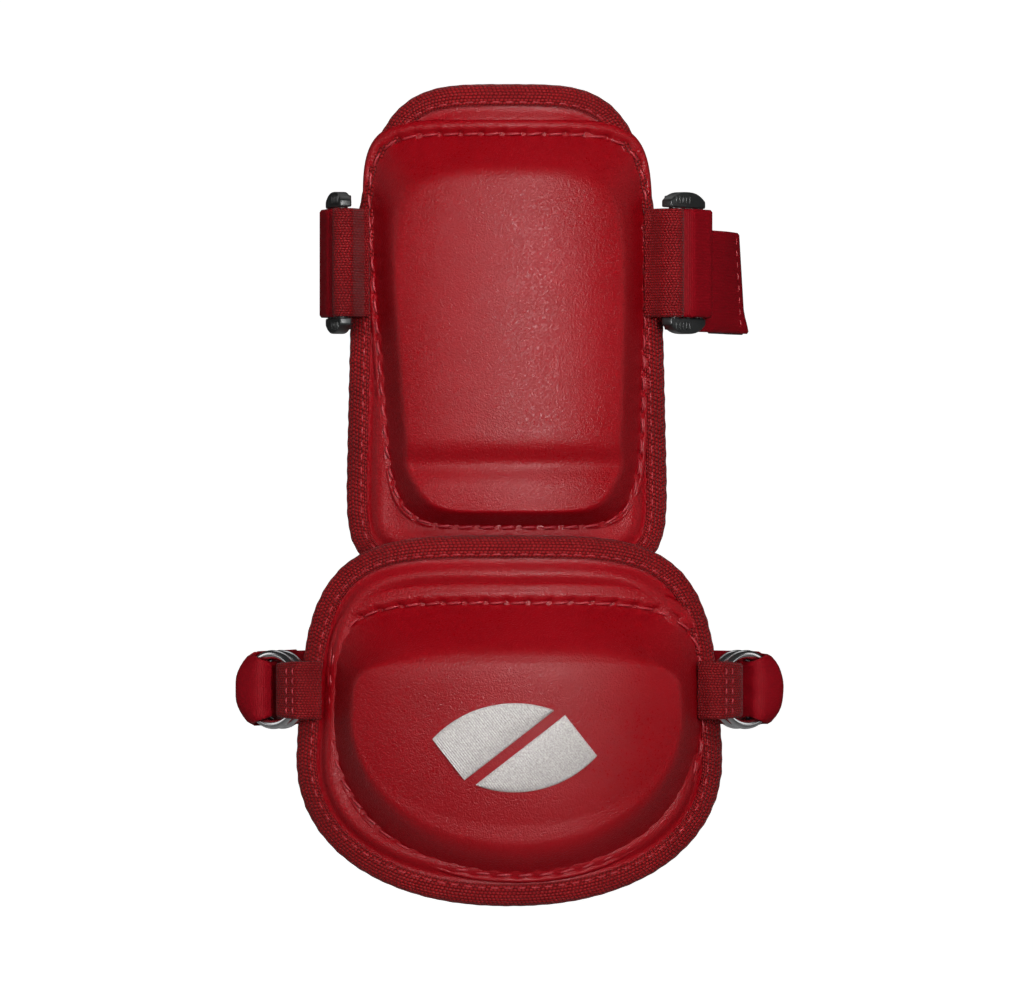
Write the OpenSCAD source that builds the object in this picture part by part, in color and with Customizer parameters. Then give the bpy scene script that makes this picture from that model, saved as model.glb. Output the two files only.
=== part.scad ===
// Two-piece elbow guard: a long arm panel, a wide elbow panel hinged below it, and two arm straps.
// Origin on the arm's axis, level with the elbow panel's lower edge. +Z up the arm, front face towards -Y.

/* [Arm panel] */
// Half of the arm panel's width
arm_half_w = 47.6; // [44:0.1:50]
// Height of the arm panel's top edge
arm_top = 241.5; // [232:0.5:250]
// Height of the arm panel's bottom edge
arm_bottom = 96; // [94:0.5:100]
// Radius of the arm panel's outer skin
arm_r = 72.6; // [70:0.1:76]
// Height of the raised shell over the arm panel's skin
arm_raise = 13.4; // [10:0.1:16]

/* [Elbow panel] */
// Half of the elbow panel's width
elbow_half_w = 63.3; // [60:0.1:65]
// Height of the elbow panel's top edge
elbow_top = 108.6; // [106:0.1:108.8]
// Radius of the elbow panel's outer skin
elbow_r = 93.6; // [92:0.1:98]
// Height of the raised cup over the elbow panel's skin
elbow_raise = 18.8; // [14:0.1:22]

/* [Layers] */
// Thickness of the lining cloth
liner_t = 1.4; // [1:0.1:2]
// Thickness of the arm panel's foam
arm_foam_t = 5.9; // [4:0.1:6.5]
// Thickness of the elbow panel's foam
elbow_foam_t = 7.9; // [6:0.1:8.5]
// Thickness of the leather skin
skin_t = 1.1; // [0.8:0.1:1.4]
// Width of the woven edge binding on the face
binding_w = 6.8; // [5:0.1:8]
// Thickness of the hard plastic shells
shell_t = 2.5; // [2:0.1:3]

/* [Straps] */
// Width of the upper strap
upper_strap_w = 32; // [30:1:34]
// Height of the upper strap's lower edge
upper_strap_z = 173; // [165:1:180]
// Width of the lower strap
lower_strap_w = 22; // [20:1:24]
// Height of the middle of the lower strap and its rings
lower_strap_z = 63; // [58:1:68]
// Thickness of the strap webbing
strap_t = 1.6; // [1.2:0.1:1.8]
// Radius of the upper strap's loop round the back of the arm
loop_r = 54; // [50:1:58]
// Diameter of the ring wire
wire_d = 2.6; // [2:0.1:2.8]
// Outer radius of the metal rings
ring_r = 11.7; // [11:0.1:12]

/* [Hidden] */
$fn = 96;

LEATHER = "#75070c";
WEBBING = "#5e0508";
SATIN = "#70040c";
BLACK = "#161818";
STEEL = "#c8c8cc";
SILVER = "#c8c8c8";
THREAD = "#a02028";
FOAM = "#3a3a3c";
LINING = "#232326";

gap = 0.1;              // between layers of one panel
turn_gap = 0.35;        // between pieces that turn on each other
outline_steps = 60;     // points round a panel outline
dome_steps = 40;        // points round a shell outline

// The arm panel's cylinder axis stands behind the arm's axis, and so does the elbow panel's.
arm_yc = 14;
arm_mid_z = 140;
elbow_yc = 20;
elbow_mid_z = 46;
elbow_mid_x = 0.4;
panel_back_y = -15;     // nothing of a panel lies behind this plane
panel_depth = 110;

function spow(v, p) = sign(v) * pow(abs(v), p);

// A closed egg-shaped outline [x, z]: each half is a superellipse, and the upper half narrows by taper.
// sx, su and sl scale its width, upper half and lower half about the middle. spread, in degrees, moves
// points of a squarish half from its corners to its sides.
function egg(mid, half_w, up, low, n_up, n_low, taper, lean, inset, steps, sx = 1, su = 1, sl = 1,
    spread = 0) = [
    for (i = [0:steps - 1])
    let (
        step = 360 * i / steps,
        top = sin(step) >= 0,
        n = top ? n_up : n_low,
        a = step - (n > 3 ? spread : 0) * sin(4 * step),
        z = spow(sin(a), 2 / n) * ((top ? up : low) - inset) * (top ? su : sl),
        x = spow(cos(a), 2 / n) * (half_w - inset) * sx * (1 - taper * z / up)
    )
    [mid[0] + x + lean * z, mid[1] + z]
];

function arm_outline(inset) = egg([-0.4, arm_mid_z], arm_half_w, arm_top - arm_mid_z, arm_mid_z - arm_bottom,
    4.1, 5.5, 0.05, 0, inset, outline_steps);
function elbow_outline(inset) = egg([elbow_mid_x, elbow_mid_z], elbow_half_w, elbow_top - elbow_mid_z,
    elbow_mid_z, 4, 2.2, 0.06, 0, inset, outline_steps);

// Outlines of the raised shells; the scales draw the rings inside them.
arm_shell_mid = [0.8, 170];
arm_shell_up = 61;
arm_shell_low = 60;
elbow_shell_mid = [2.6, 58];
elbow_shell_up = 37;
elbow_shell_low = 51;
ring_spread = 12;
function arm_ring(sx, su, sl) = egg(arm_shell_mid, 41.3, arm_shell_up, arm_shell_low,
    5.5, 6, -0.075, -0.026, 0, dome_steps, sx, su, sl, ring_spread);
function elbow_ring(sx, su, sl) = egg(elbow_shell_mid, 56.4, elbow_shell_up, elbow_shell_low,
    4.5, 2.15, 0.02, 0, 0, dome_steps, sx, su, sl, ring_spread);

module prism(outline) {
    translate([0, panel_back_y, 0])
    rotate([90, 0, 0])
    linear_extrude(panel_depth)
    polygon(outline);
}

module tube(yc, r_in, r_out) {
    translate([0, yc, -5])
    difference() {
        cylinder(r = r_out, h = arm_top + 10);
        translate([0, 0, -1]) cylinder(r = r_in, h = arm_top + 12);
    }
}

module layer(outline, yc, r_in, r_out) {
    intersection() {
        prism(outline);
        tube(yc, r_in, r_out);
    }
}

edge_gap = 1.1;         // how far the layers stop inside the binding's outer edge
binding_t = 1.0;

// A folded tape round the panel's edge: a frame of the outline, less the space of the layers in it.
module edge_binding(outer, layers, inner, yc, r_in, r_out) {
    difference() {
        layer(outer, yc, r_in - binding_t, r_out + binding_t);
        layer(layers, yc, r_in - gap / 2, r_out + gap / 2);
        prism(inner);
    }
}

arm_skin_in = arm_r - skin_t;
arm_foam_in = arm_skin_in - gap - arm_foam_t;
arm_in = arm_foam_in - gap - liner_t;
elbow_skin_in = elbow_r - skin_t;
elbow_foam_in = elbow_skin_in - gap - elbow_foam_t;
elbow_in = elbow_foam_in - gap - liner_t;

// --- Raised shells: rings of points over a cylinder, closed to a point in the middle -------------

function lift(ring, yc, r, raise) = [for (p = ring) [p[0], yc - sqrt(r * r - p[0] * p[0]) - raise, p[1]]];
function lift_point(p, yc, r, raise) = [p[0], yc - sqrt(r * r - p[0] * p[0]) - raise, p[1]];

// Closed solid between an outer stack of rings and an inner one, both listed from the edge inwards.
module dome(outer, outer_tip, inner, inner_tip) {
    n = dome_steps;
    rings = concat(outer, [for (i = [len(inner) - 1:-1:0]) inner[i]]);
    no = len(outer);
    total = len(rings);
    points = concat([for (r = rings) for (p = r) p], [outer_tip, inner_tip]);
    tip_out = n * total;
    tip_in = tip_out + 1;
    bands = [for (k = [0:total - 1]) if (k != no - 1)
        for (i = [0:n - 1]) for (h = [0, 1])
        let (j = (i + 1) % n, a = k * n, b = ((k + 1) % total) * n)
        h == 0 ? [a + i, a + j, b + j] : [a + i, b + j, b + i]];
    fans = [for (i = [0:n - 1]) for (h = [0, 1])
        let (j = (i + 1) % n, a = (no - 1) * n, b = no * n)
        h == 0 ? [a + i, a + j, tip_out] : [b + j, b + i, tip_in]];
    polyhedron(points, concat(bands, fans));
}

seat = 1.8;             // clearance of a shell's rim over the skin, so that it passes over the binding
nest_gap = 0.4;         // between the cover, the hard shell and its foam

// Each shell profile is a list of [width scale, upper scale, lower scale, raise] from the edge inwards.
function arm_stack(rows) = [for (w = rows) lift(arm_ring(w[0], w[1], w[2]), arm_yc, arm_r, w[3])];
function elbow_stack(rows) = [for (w = rows) lift(elbow_ring(w[0], w[1], w[2]), elbow_yc, elbow_r, w[3])];

module arm_dome(outer, inner, top, bottom) {
    dome(arm_stack(outer), lift_point(arm_shell_mid, arm_yc, arm_r, top),
        arm_stack(inner), lift_point(arm_shell_mid, arm_yc, arm_r, bottom));
}

module elbow_dome(outer, inner, top, bottom) {
    dome(elbow_stack(outer), lift_point(elbow_shell_mid, elbow_yc, elbow_r, top),
        elbow_stack(inner), lift_point(elbow_shell_mid, elbow_yc, elbow_r, bottom));
}

// Where the crease between flank and face runs on each shell, as scales of its outline.
arm_crease = [0.79, 0.72, 0.88];
elbow_crease = [0.84, 0.40, 0.64];
foot = 0.95;            // the foot of the flank, where the cover is sewn down
function inward(crease, d) = [crease[0] - d, crease[1] - d, crease[2] - d];
function row(scales, raise) = [scales[0], scales[1], scales[2], raise];
function even(s, raise) = [s, s, s, raise];

// Rows of one skin of a shell: its edge, its crease lowered by drop, and the middle of its face.
function skin_rows(s_edge, edge_raise, crease, d, h, drop) = [
    even(s_edge, edge_raise),
    row(inward(crease, d), h - drop),
    row(inward(crease * 0.55, d / 2), h)
];

arm_drop = 1.2;
elbow_drop = 1.8;
cover_t = 1.2;
rim_t = 1.0;            // thickness of the cover's rim
rim_raise = seat + rim_t;
foot_rise = 0.9;

module shell_cover_rows(kind, crease, h, drop) {
    outer = concat([even(1, rim_raise)], skin_rows(foot, rim_raise + foot_rise, crease, 0, h, drop));
    inner = concat([even(1, seat)], skin_rows(foot - 0.015, seat, crease, 0.025, h - cover_t, drop));
    if (kind == "arm") arm_dome(outer, inner, h, h - cover_t);
    if (kind == "elbow") elbow_dome(outer, inner, h, h - cover_t);
}

module hard_shell_rows(kind, crease, h, drop) {
    top = h - cover_t - nest_gap;
    outer = skin_rows(foot - 0.035, seat + 0.05, crease, 0.04, top, drop);
    inner = skin_rows(foot - 0.095, seat, crease, 0.1, top - shell_t, drop);
    if (kind == "arm") arm_dome(outer, inner, top, top - shell_t);
    if (kind == "elbow") elbow_dome(outer, inner, top, top - shell_t);
}

module shell_foam_rows(kind, crease, h, drop) {
    top = h - cover_t - shell_t - 2 * nest_gap;
    outer = skin_rows(foot - 0.12, seat + 0.05, crease, 0.12, top, drop);
    floor_rows = [for (w = outer) [w[0], w[1], w[2], seat]];
    inner = concat([outer[0] - [0.01, 0.01, 0.01, 0.05]], [floor_rows[1], floor_rows[2]]);
    if (kind == "arm") arm_dome(outer, inner, top, seat);
    if (kind == "elbow") elbow_dome(outer, inner, top, seat);
}

// --- Stitches: short threads along the foot of a shell's flank ----------------------------------

stitch_d = 0.9;
stitch_l = 3.6;
stitch_pitch = 6.2;
stitch_raise = rim_raise + 1.3;

// A short rod that starts at p and points along v.
module rod(p, v, d, l) {
    translate(p)
    rotate([0, acos(v[2] / norm(v)), atan2(v[1], v[0])])
    cylinder(d = d, h = l, $fn = 6);
}

module stitches(points, pitch) {
    n = len(points);
    for (i = [0:n - 1]) {
        a = points[i];
        v = points[(i + 1) % n] - a;
        count = floor(norm(v) / pitch);
        for (k = [0:1:count - 1]) rod(a + v * (k + 0.2) / count, v, stitch_d, stitch_l);
        if (count == 0 && i % 2 == 0 && norm(v) > stitch_d) {
            rod(a, v, stitch_d, min(stitch_l, norm(v) * 0.8));
        }
    }
}

// --- Straps: ribbons that follow a path in plan and stand up along Z -----------------------------

function path_normal(p, i) = let (d = p[min(i + 1, len(p) - 1)] - p[max(i - 1, 0)]) [-d[1], d[0]] / norm(d);

module ribbon(path, t, z, w) {
    last = len(path) - 1;
    translate([0, 0, z])
    linear_extrude(w)
    polygon(concat(
        [for (i = [0:last]) path[i] + path_normal(path, i) * t / 2],
        [for (i = [last:-1:0]) path[i] - path_normal(path, i) * t / 2]
    ));
}

function arc(c, r, a0, a1, n) = [for (i = [0:n]) let (a = a0 + (a1 - a0) * i / n) c + r * [cos(a), sin(a)]];

function bezier(a, b, c, d, n) = [for (i = [0:n]) let (t = i / n, s = 1 - t)
    a * s * s * s + 3 * b * s * s * t + 3 * c * s * t * t + d * t * t * t];

// Part of a path, set off sideways by d: positive is to the left of its direction.
function beside(path, first, last, d) = [for (i = [first:last]) path[i] + path_normal(path, i) * d];

// --- Buckles: a plate with three bars, in plan frame [u outwards and back, n away from the arm] --

buckle_t = 3.6;
buckle_in = 11;         // from the middle bar to the plate's inner end
buckle_out = 8.6;       // from the middle bar to its outer end
bar_d = 3;
bar_u = 6.9;            // from the middle bar to the other two
buckle_h = upper_strap_w + 10;
buckle_z = upper_strap_z - 5;
rail_h = 4;
right_turn = 58;        // angles of the plates from the X axis
left_turn = 76;
right_buckle_at = [52.6, -44.4];
left_buckle_at = [-50.4, -46.2];

function plan(at, s, turn, p) = at + p[0] * [s * cos(turn), sin(turn)] + p[1] * [s * sin(turn), -cos(turn)];
function plan_path(at, s, turn, path) = [for (p = path) plan(at, s, turn, p)];

module buckle(at, s, turn) {
    translate([at[0], at[1], buckle_z])
    rotate([0, 0, s > 0 ? turn : 180 - turn])
    union() {
        for (z = [0, buckle_h - rail_h])
            translate([-buckle_in, -buckle_t / 2, z]) cube([buckle_in + buckle_out, buckle_t, rail_h]);
        for (u = [-bar_u, 0, bar_u])
            translate([u, 0, 1]) cylinder(d = bar_d, h = buckle_h - 2);
    }
}

tab_t = 1.3;
tab_path_r = bar_d / 2 + turn_gap + tab_t / 2;

// The sewn loop round a buckle's inner bar; its two ends lie on the panel beside the cover.
tab_path = concat(
    [[-bar_u - 2, -4.2]],
    arc([-bar_u, 0], tab_path_r, 190, -80, 18),
    [[-bar_u - 0.1, -4.2]]
);

module webbing_tab(at, s, turn) {
    ribbon(plan_path(at, s, turn, tab_path), tab_t, upper_strap_z, upper_strap_w);
}

fold_n = bar_d / 2 + turn_gap + strap_t / 2;

// The strap's fold: in behind the outer bar, round the middle bar, and out over the outer one.
function fold_path() = concat(
    [[9.8, -fold_n - 0.1], [5, -fold_n]],
    arc([0, 0], fold_n, -90, -270, 10),
    [[5, fold_n], [9.4, fold_n + 0.1]]
);

module strap_fold(at, s, turn) {
    ribbon(plan_path(at, s, turn, fold_path()), strap_t, upper_strap_z, upper_strap_w);
}

loop_at = [1.2, -3];
strap_gap = 0.7;

right_start = plan(right_buckle_at, 1, right_turn, [9.8 + strap_gap, -fold_n - 0.15]);
right_lead = plan(right_buckle_at, 1, right_turn, [15, -fold_n - 0.6]);
left_start = plan(left_buckle_at, -1, left_turn, [9.8 + strap_gap, -fold_n - 0.15]);
left_lead = plan(left_buckle_at, -1, left_turn, [15, -fold_n - 0.6]);
upper_path = concat(
    bezier(right_start, right_lead, loop_at + [loop_r, -14], loop_at + [loop_r, 0], 8),
    [for (i = [1:23]) arc(loop_at, loop_r, 0, 180, 24)[i]],
    bezier(loop_at + [-loop_r, 0], loop_at + [-loop_r, -14], left_lead, left_start, 8)
);

// The free end of the upper strap leaves the right buckle's fold and lies outside the strap.
tail_root = plan(right_buckle_at, 1, right_turn, [10.2, fold_n + 0.1]);
tail_path = bezier(tail_root, tail_root + [4, 7], [66, -19], [69.5, -6], 10);
tape_t = 1.2;
loop_tape_t = 1.0;
tail_drop = 4;          // the tail hangs a little lower than the strap

// --- Rings and their tabs, drawn for the right side and mirrored for the left --------------------

ring_turn = 44;
ring_origin = [60.4, -58.2];
ring_u = 11.6;          // from the ring frame's origin to the middle of the rings
front_tilt = 2;         // the front ring leans a little away from the back one
ring_n = wire_d / 2 + 0.3;
ring_major = ring_r - wire_d / 2;
loop_end = 10.5;        // from the ring frame's origin to the tab's fold
loop_inner = ring_n + wire_d / 2 + 1.2;
ring_pivot_u = ring_u - ring_major;

module both_sides(s) {
    translate([elbow_mid_x, 0, 0])
    mirror([s < 0 ? 1 : 0, 0, 0])
    translate([ring_origin[0] - elbow_mid_x, ring_origin[1], lower_strap_z])
    rotate([0, 0, ring_turn])
    children();
}

// In this frame x runs outwards and back, -y points away from the arm, and z is up.
module ring(side) {
    lean = side > 0 ? front_tilt : 0;
    translate([ring_pivot_u, -side * ring_n, 0])
    rotate([0, 0, -lean])
    translate([ring_major, 0, 0])
    rotate([90, 0, 0])
    rotate_extrude()
    translate([ring_major, 0]) circle(d = wire_d, $fn = 32);
}

tab_mid = loop_inner + tab_t / 2;
tab_h = 16.6;
tab_front_u = 1;        // where the tab's front ply begins
tab_back_turn = 40;     // its back ply ends this far round the fold, clear of the panel's edge

module ring_tab() {
    path = concat(
        [[tab_front_u, -tab_mid]],
        arc([loop_end - tab_mid - tab_t / 2, 0], tab_mid, -90, tab_back_turn, 12)
    );
    ribbon(path, tab_t, -tab_h / 2, tab_h);
}

// The lower strap's turn: up through both rings and back over their outer sides. The elastic bunches
// there, so that it fits inside the rings.
turn_w = 16.4;
turn_path = concat(
    bezier([ring_u + 12.4, 8], [ring_u + 9, 6.8], [ring_u + 4.2, 6.4], [ring_u + 3, 2.6], 7),
    arc([ring_u + 5.6, -2.3], 2.6, 180, 270, 6),
    bezier([ring_u + 10.4, -5], [ring_u + 13.2, -5], [ring_u + 14, -3.2], [ring_u + 14, 0.1], 6)
);

module strap_turn() {
    ribbon(turn_path, strap_t, -turn_w / 2, turn_w);
}

function ring_plan(s, p) = [elbow_mid_x + s * (ring_origin[0] - elbow_mid_x + p[0] * cos(ring_turn)
    - p[1] * sin(ring_turn)), ring_origin[1] + p[0] * sin(ring_turn) + p[1] * cos(ring_turn)];

lower_back = [0.4, -6];
lower_r = 55;
lower_right = ring_plan(1, [ring_u + 13.3, 8.5]);
lower_left = ring_plan(-1, [ring_u + 13.3, 8.5]);
lower_path = concat(
    bezier(lower_right, lower_right + [-2, 9], lower_back + [lower_r, -16], lower_back + [lower_r, 0], 8),
    [for (i = [1:23]) arc(lower_back, lower_r, 0, 180, 24)[i]],
    bezier(lower_back + [-lower_r, 0], lower_back + [-lower_r, -16], lower_left + [2, 9], lower_left, 8)
);

lower_tail_root = ring_plan(-1, [ring_u + 14, 1.1]);
lower_tail_path = bezier(lower_tail_root, lower_tail_root + [-0.4, 5], [-70, -24], [-64, -4], 10);

// --- Nodes: arm panel ----------------------------------------------------------------------------

module arm_liner() {
    color(LINING) layer(arm_outline(edge_gap), arm_yc, arm_in, arm_in + liner_t);
}

module arm_foam() {
    color(FOAM) layer(arm_outline(edge_gap), arm_yc, arm_foam_in, arm_foam_in + arm_foam_t);
}

module arm_base_cover() {
    color(LEATHER) layer(arm_outline(edge_gap), arm_yc, arm_skin_in, arm_r);
}

module arm_binding() {
    color(WEBBING) edge_binding(arm_outline(0), arm_outline(edge_gap - gap / 2), arm_outline(binding_w),
        arm_yc, arm_in, arm_r);
}

module arm_shell_foam() {
    color(FOAM) shell_foam_rows("arm", arm_crease, arm_raise, arm_drop);
}

module arm_shell() {
    color(BLACK) hard_shell_rows("arm", arm_crease, arm_raise, arm_drop);
}

module arm_shell_cover() {
    color(LEATHER) shell_cover_rows("arm", arm_crease, arm_raise, arm_drop);
}

module arm_shell_stitching() {
    color(THREAD) stitches(lift(arm_ring(0.97, 0.97, 0.97), arm_yc, arm_r, stitch_raise), stitch_pitch);
}

module hinge_strip() {
    color(WEBBING)
    intersection() {
        translate([-32, -80, 98]) cube([64, 60, 8.5]);
        tube(arm_yc, arm_r + binding_t + 0.3, arm_r + binding_t + 1.7);
    }
}

module left_webbing_tab() {
    color(WEBBING) webbing_tab(left_buckle_at, -1, left_turn);
}

module right_webbing_tab() {
    color(WEBBING) webbing_tab(right_buckle_at, 1, right_turn);
}

module upper_strap() {
    color(SATIN) ribbon(upper_path, strap_t, upper_strap_z, upper_strap_w);
}

module upper_loop_tape() {
    color(WEBBING)
    ribbon(beside(upper_path, 5, 18, -(strap_t + loop_tape_t) / 2 - gap / 2), loop_tape_t,
        upper_strap_z + 2, upper_strap_w - 4);
}

// --- Nodes: elbow panel --------------------------------------------------------------------------

module elbow_liner() {
    color(LINING) layer(elbow_outline(edge_gap), elbow_yc, elbow_in, elbow_in + liner_t);
}

module elbow_foam() {
    color(FOAM) layer(elbow_outline(edge_gap), elbow_yc, elbow_foam_in, elbow_foam_in + elbow_foam_t);
}

module elbow_base_cover() {
    color(LEATHER) layer(elbow_outline(edge_gap), elbow_yc, elbow_skin_in, elbow_r);
}

module elbow_binding() {
    color(WEBBING) edge_binding(elbow_outline(0), elbow_outline(edge_gap - gap / 2),
        elbow_outline(binding_w), elbow_yc, elbow_in, elbow_r);
}

module elbow_shell_foam() {
    color(FOAM) shell_foam_rows("elbow", elbow_crease, elbow_raise, elbow_drop);
}

module elbow_shell() {
    color(BLACK) hard_shell_rows("elbow", elbow_crease, elbow_raise, elbow_drop);
}

module elbow_shell_cover() {
    color(LEATHER) shell_cover_rows("elbow", elbow_crease, elbow_raise, elbow_drop);
}

module elbow_shell_stitching() {
    color(THREAD) stitches(lift(elbow_ring(0.97, 0.97, 0.97), elbow_yc, elbow_r, stitch_raise), stitch_pitch);
}

emblem_at = [2, 47];
emblem_w = 52;
emblem_h = 26;
emblem_lens_r = (emblem_w * emblem_w / 4 + emblem_h * emblem_h / 4) / emblem_h;
emblem_slit = 3;

// A pointed oval, split by a slanted gap.
module emblem_outline() {
    translate(emblem_at)
    difference() {
        intersection() {
            translate([0, emblem_h / 2 - emblem_lens_r]) circle(emblem_lens_r);
            translate([0, emblem_lens_r - emblem_h / 2]) circle(emblem_lens_r);
        }
        rotate(-52) square([emblem_slit, emblem_w], center = true);
    }
}

module elbow_emblem() {
    face_r = elbow_r + elbow_raise + 0.4;
    color(SILVER)
    intersection() {
        translate([0, panel_back_y, 0]) rotate([90, 0, 0]) linear_extrude(panel_depth) emblem_outline();
        tube(elbow_yc, face_r, face_r + 0.9);
    }
}

module left_ring_tab() {
    color(WEBBING) both_sides(-1) ring_tab();
}

module right_ring_tab() {
    color(WEBBING) both_sides(1) ring_tab();
}

module lower_strap() {
    color(SATIN) ribbon(lower_path, strap_t, lower_strap_z - lower_strap_w / 2, lower_strap_w);
}

module lower_loop_tape() {
    color(WEBBING)
    ribbon(beside(lower_path, 22, 35, -(strap_t + loop_tape_t) / 2 - gap / 2), loop_tape_t,
        lower_strap_z - lower_strap_w / 2 + 2, lower_strap_w - 4);
}

// --- Nodes: buckles, tails and rings -------------------------------------------------------------

module left_buckle() {
    color(BLACK) buckle(left_buckle_at, -1, left_turn);
}

module left_strap_fold() {
    color(SATIN) strap_fold(left_buckle_at, -1, left_turn);
}

module right_buckle() {
    color(BLACK) buckle(right_buckle_at, 1, right_turn);
}

module right_strap_fold() {
    color(SATIN) strap_fold(right_buckle_at, 1, right_turn);
}

module upper_strap_tail() {
    color(SATIN) ribbon(tail_path, strap_t, upper_strap_z - tail_drop, upper_strap_w);
}

module upper_hook_tape() {
    color(BLACK)
    ribbon(beside(tail_path, 3, 10, (strap_t + tape_t) / 2 + gap / 2), tape_t,
        upper_strap_z - tail_drop + 1, upper_strap_w - 2);
}

module left_ring_front() {
    color(STEEL) both_sides(-1) ring(1);
}

module left_ring_back() {
    color(STEEL) both_sides(-1) ring(-1);
}

module left_strap_turn() {
    color(SATIN) both_sides(-1) strap_turn();
}

module right_ring_front() {
    color(STEEL) both_sides(1) ring(1);
}

module right_ring_back() {
    color(STEEL) both_sides(1) ring(-1);
}

module right_strap_turn() {
    color(SATIN) both_sides(1) strap_turn();
}

module lower_strap_tail() {
    color(SATIN) ribbon(lower_tail_path, strap_t, lower_strap_z - lower_strap_w / 2, lower_strap_w);
}

module lower_hook_tape() {
    color(BLACK)
    ribbon(beside(lower_tail_path, 3, 10, -(strap_t + tape_t) / 2 - gap / 2), tape_t,
        lower_strap_z - lower_strap_w / 2 + 1, lower_strap_w - 2);
}

arm_liner();
arm_foam();
arm_base_cover();
arm_binding();
arm_shell_foam();
arm_shell();
arm_shell_cover();
arm_shell_stitching();
hinge_strip();
left_webbing_tab();
right_webbing_tab();
upper_strap();
upper_loop_tape();
elbow_liner();
elbow_foam();
elbow_base_cover();
elbow_binding();
elbow_shell_foam();
elbow_shell();
elbow_shell_cover();
elbow_shell_stitching();
elbow_emblem();
left_ring_tab();
right_ring_tab();
lower_strap();
lower_loop_tape();
left_buckle();
left_strap_fold();
right_buckle();
right_strap_fold();
upper_strap_tail();
upper_hook_tape();
left_ring_front();
left_ring_back();
left_strap_turn();
right_ring_front();
right_ring_back();
right_strap_turn();
lower_strap_tail();
lower_hook_tape();
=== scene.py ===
"""Elbow guard: two padded leather panels with hard raised shells, a buckled strap and a ring strap.

Sizes are in millimetres in the row frame (+Z up the arm, -Y the front), and MM turns them into metres.
"""
import math
import random

import bmesh
import bpy
import numpy as np
from mathutils import Matrix, Vector


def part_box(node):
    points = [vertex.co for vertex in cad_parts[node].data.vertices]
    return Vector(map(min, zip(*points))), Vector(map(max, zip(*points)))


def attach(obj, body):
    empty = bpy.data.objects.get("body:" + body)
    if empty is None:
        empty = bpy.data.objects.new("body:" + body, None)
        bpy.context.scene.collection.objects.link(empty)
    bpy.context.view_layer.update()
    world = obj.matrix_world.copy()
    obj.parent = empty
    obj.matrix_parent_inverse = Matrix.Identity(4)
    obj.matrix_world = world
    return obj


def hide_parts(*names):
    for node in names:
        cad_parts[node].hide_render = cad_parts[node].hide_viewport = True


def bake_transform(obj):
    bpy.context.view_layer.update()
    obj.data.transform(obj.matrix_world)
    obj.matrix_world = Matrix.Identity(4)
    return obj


MM = 0.001
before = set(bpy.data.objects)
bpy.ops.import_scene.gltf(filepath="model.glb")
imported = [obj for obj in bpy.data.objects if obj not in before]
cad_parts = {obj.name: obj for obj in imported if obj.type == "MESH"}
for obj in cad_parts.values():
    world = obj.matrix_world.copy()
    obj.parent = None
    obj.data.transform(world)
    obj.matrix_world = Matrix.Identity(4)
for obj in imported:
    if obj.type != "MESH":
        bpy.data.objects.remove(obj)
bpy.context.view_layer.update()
draw = random.Random(7)


# ---------------------------------------------------------------- driving dimensions, as in the CAD

def node_box(name):
    """Lowest and highest corner of a CAD node, in millimetres."""
    low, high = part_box(name)
    return np.array(low) / MM, np.array(high) / MM


class Panel:
    """One padded panel: its outline, the cylinder it is bent on, and the shell that is raised on it."""

    def __init__(self, **facts):
        self.__dict__.update(facts)

    def skin_y(self, x):
        return self.yc - np.sqrt(self.r * self.r - np.square(x))

    def offset(self, x, z, d):
        """Points d outside the skin, along its normal."""
        k = 1 + np.asarray(d) / self.r
        y = self.yc - np.sqrt(self.r * self.r - np.square(x)) * k
        return np.stack(np.broadcast_arrays(x * k, y, z), -1)


def signed_power(v, p):
    return np.sign(v) * np.abs(v) ** p


def egg(mid, half_w, up, low, n_up, n_low, taper, lean=0.0, inset=0.0, steps=1440):
    """Closed outline in x and z: each half is a superellipse, and the upper half narrows by taper."""
    a = np.linspace(0, 2 * math.pi, steps, endpoint=False)
    top = np.sin(a) >= 0
    n = np.where(top, n_up, n_low)
    z = signed_power(np.sin(a), 2 / n) * (np.where(top, up, low) - inset)
    x = signed_power(np.cos(a), 2 / n) * (half_w - inset) * (1 - taper * z / up)
    return np.stack([mid[0] + x + lean * z, mid[1] + z], -1)


ARM = Panel(
    name="arm", yc=14.0, r=72.6, pad_t=8.6,
    outline=dict(mid=(-0.4, 140.0), half_w=47.6, up=101.5, low=44.0, n_up=4.1, n_low=5.5, taper=0.05),
    shell=dict(mid=(0.8, 170.0), half_w=41.3, up=61.0, low=60.0, n_up=6.5, n_low=6.2, taper=-0.07,
               lean=-0.026),
    raise_mm=13.4, face_drop=1.2,
    stitch=(0.955, 0.928, 0.985), foot=(0.93, 0.915, 0.972), crease=(0.79, 0.71, 0.90),
    crease_n=(3.6, 6.0), crease_round=2.6,
)
ELBOW = Panel(
    name="elbow", yc=20.0, r=93.6, pad_t=10.6,
    outline=dict(mid=(0.4, 46.0), half_w=63.3, up=62.6, low=46.0, n_up=4.0, n_low=2.2, taper=0.06),
    shell=dict(mid=(2.6, 58.0), half_w=56.4, up=37.0, low=51.0, n_up=4.3, n_low=2.15, taper=0.02),
    raise_mm=18.8, face_drop=1.0,
    stitch=(0.972, 0.835, 0.955), foot=(0.955, 0.80, 0.94), crease=(0.84, 0.40, 0.66),
    crease_n=(4.3, 2.15), crease_round=3.4,
)
BINDING_W = 6.8
BINDING_STITCH_PITCH = 3.9
STITCH_PITCH = 6.2
COVER_T = 1.2
SHELL_T = 2.5
STRAP_T = 1.6
WEBBING_T = 1.3
LOOP_PILE_T = 1.0
HOOK_PILE_T = 1.2
TAPE_GAP = 0.02
UPPER_MID_Z = 189.0
UPPER_W = 32.0
LOWER_MID_Z = 63.0
LOWER_W = 22.0
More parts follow.
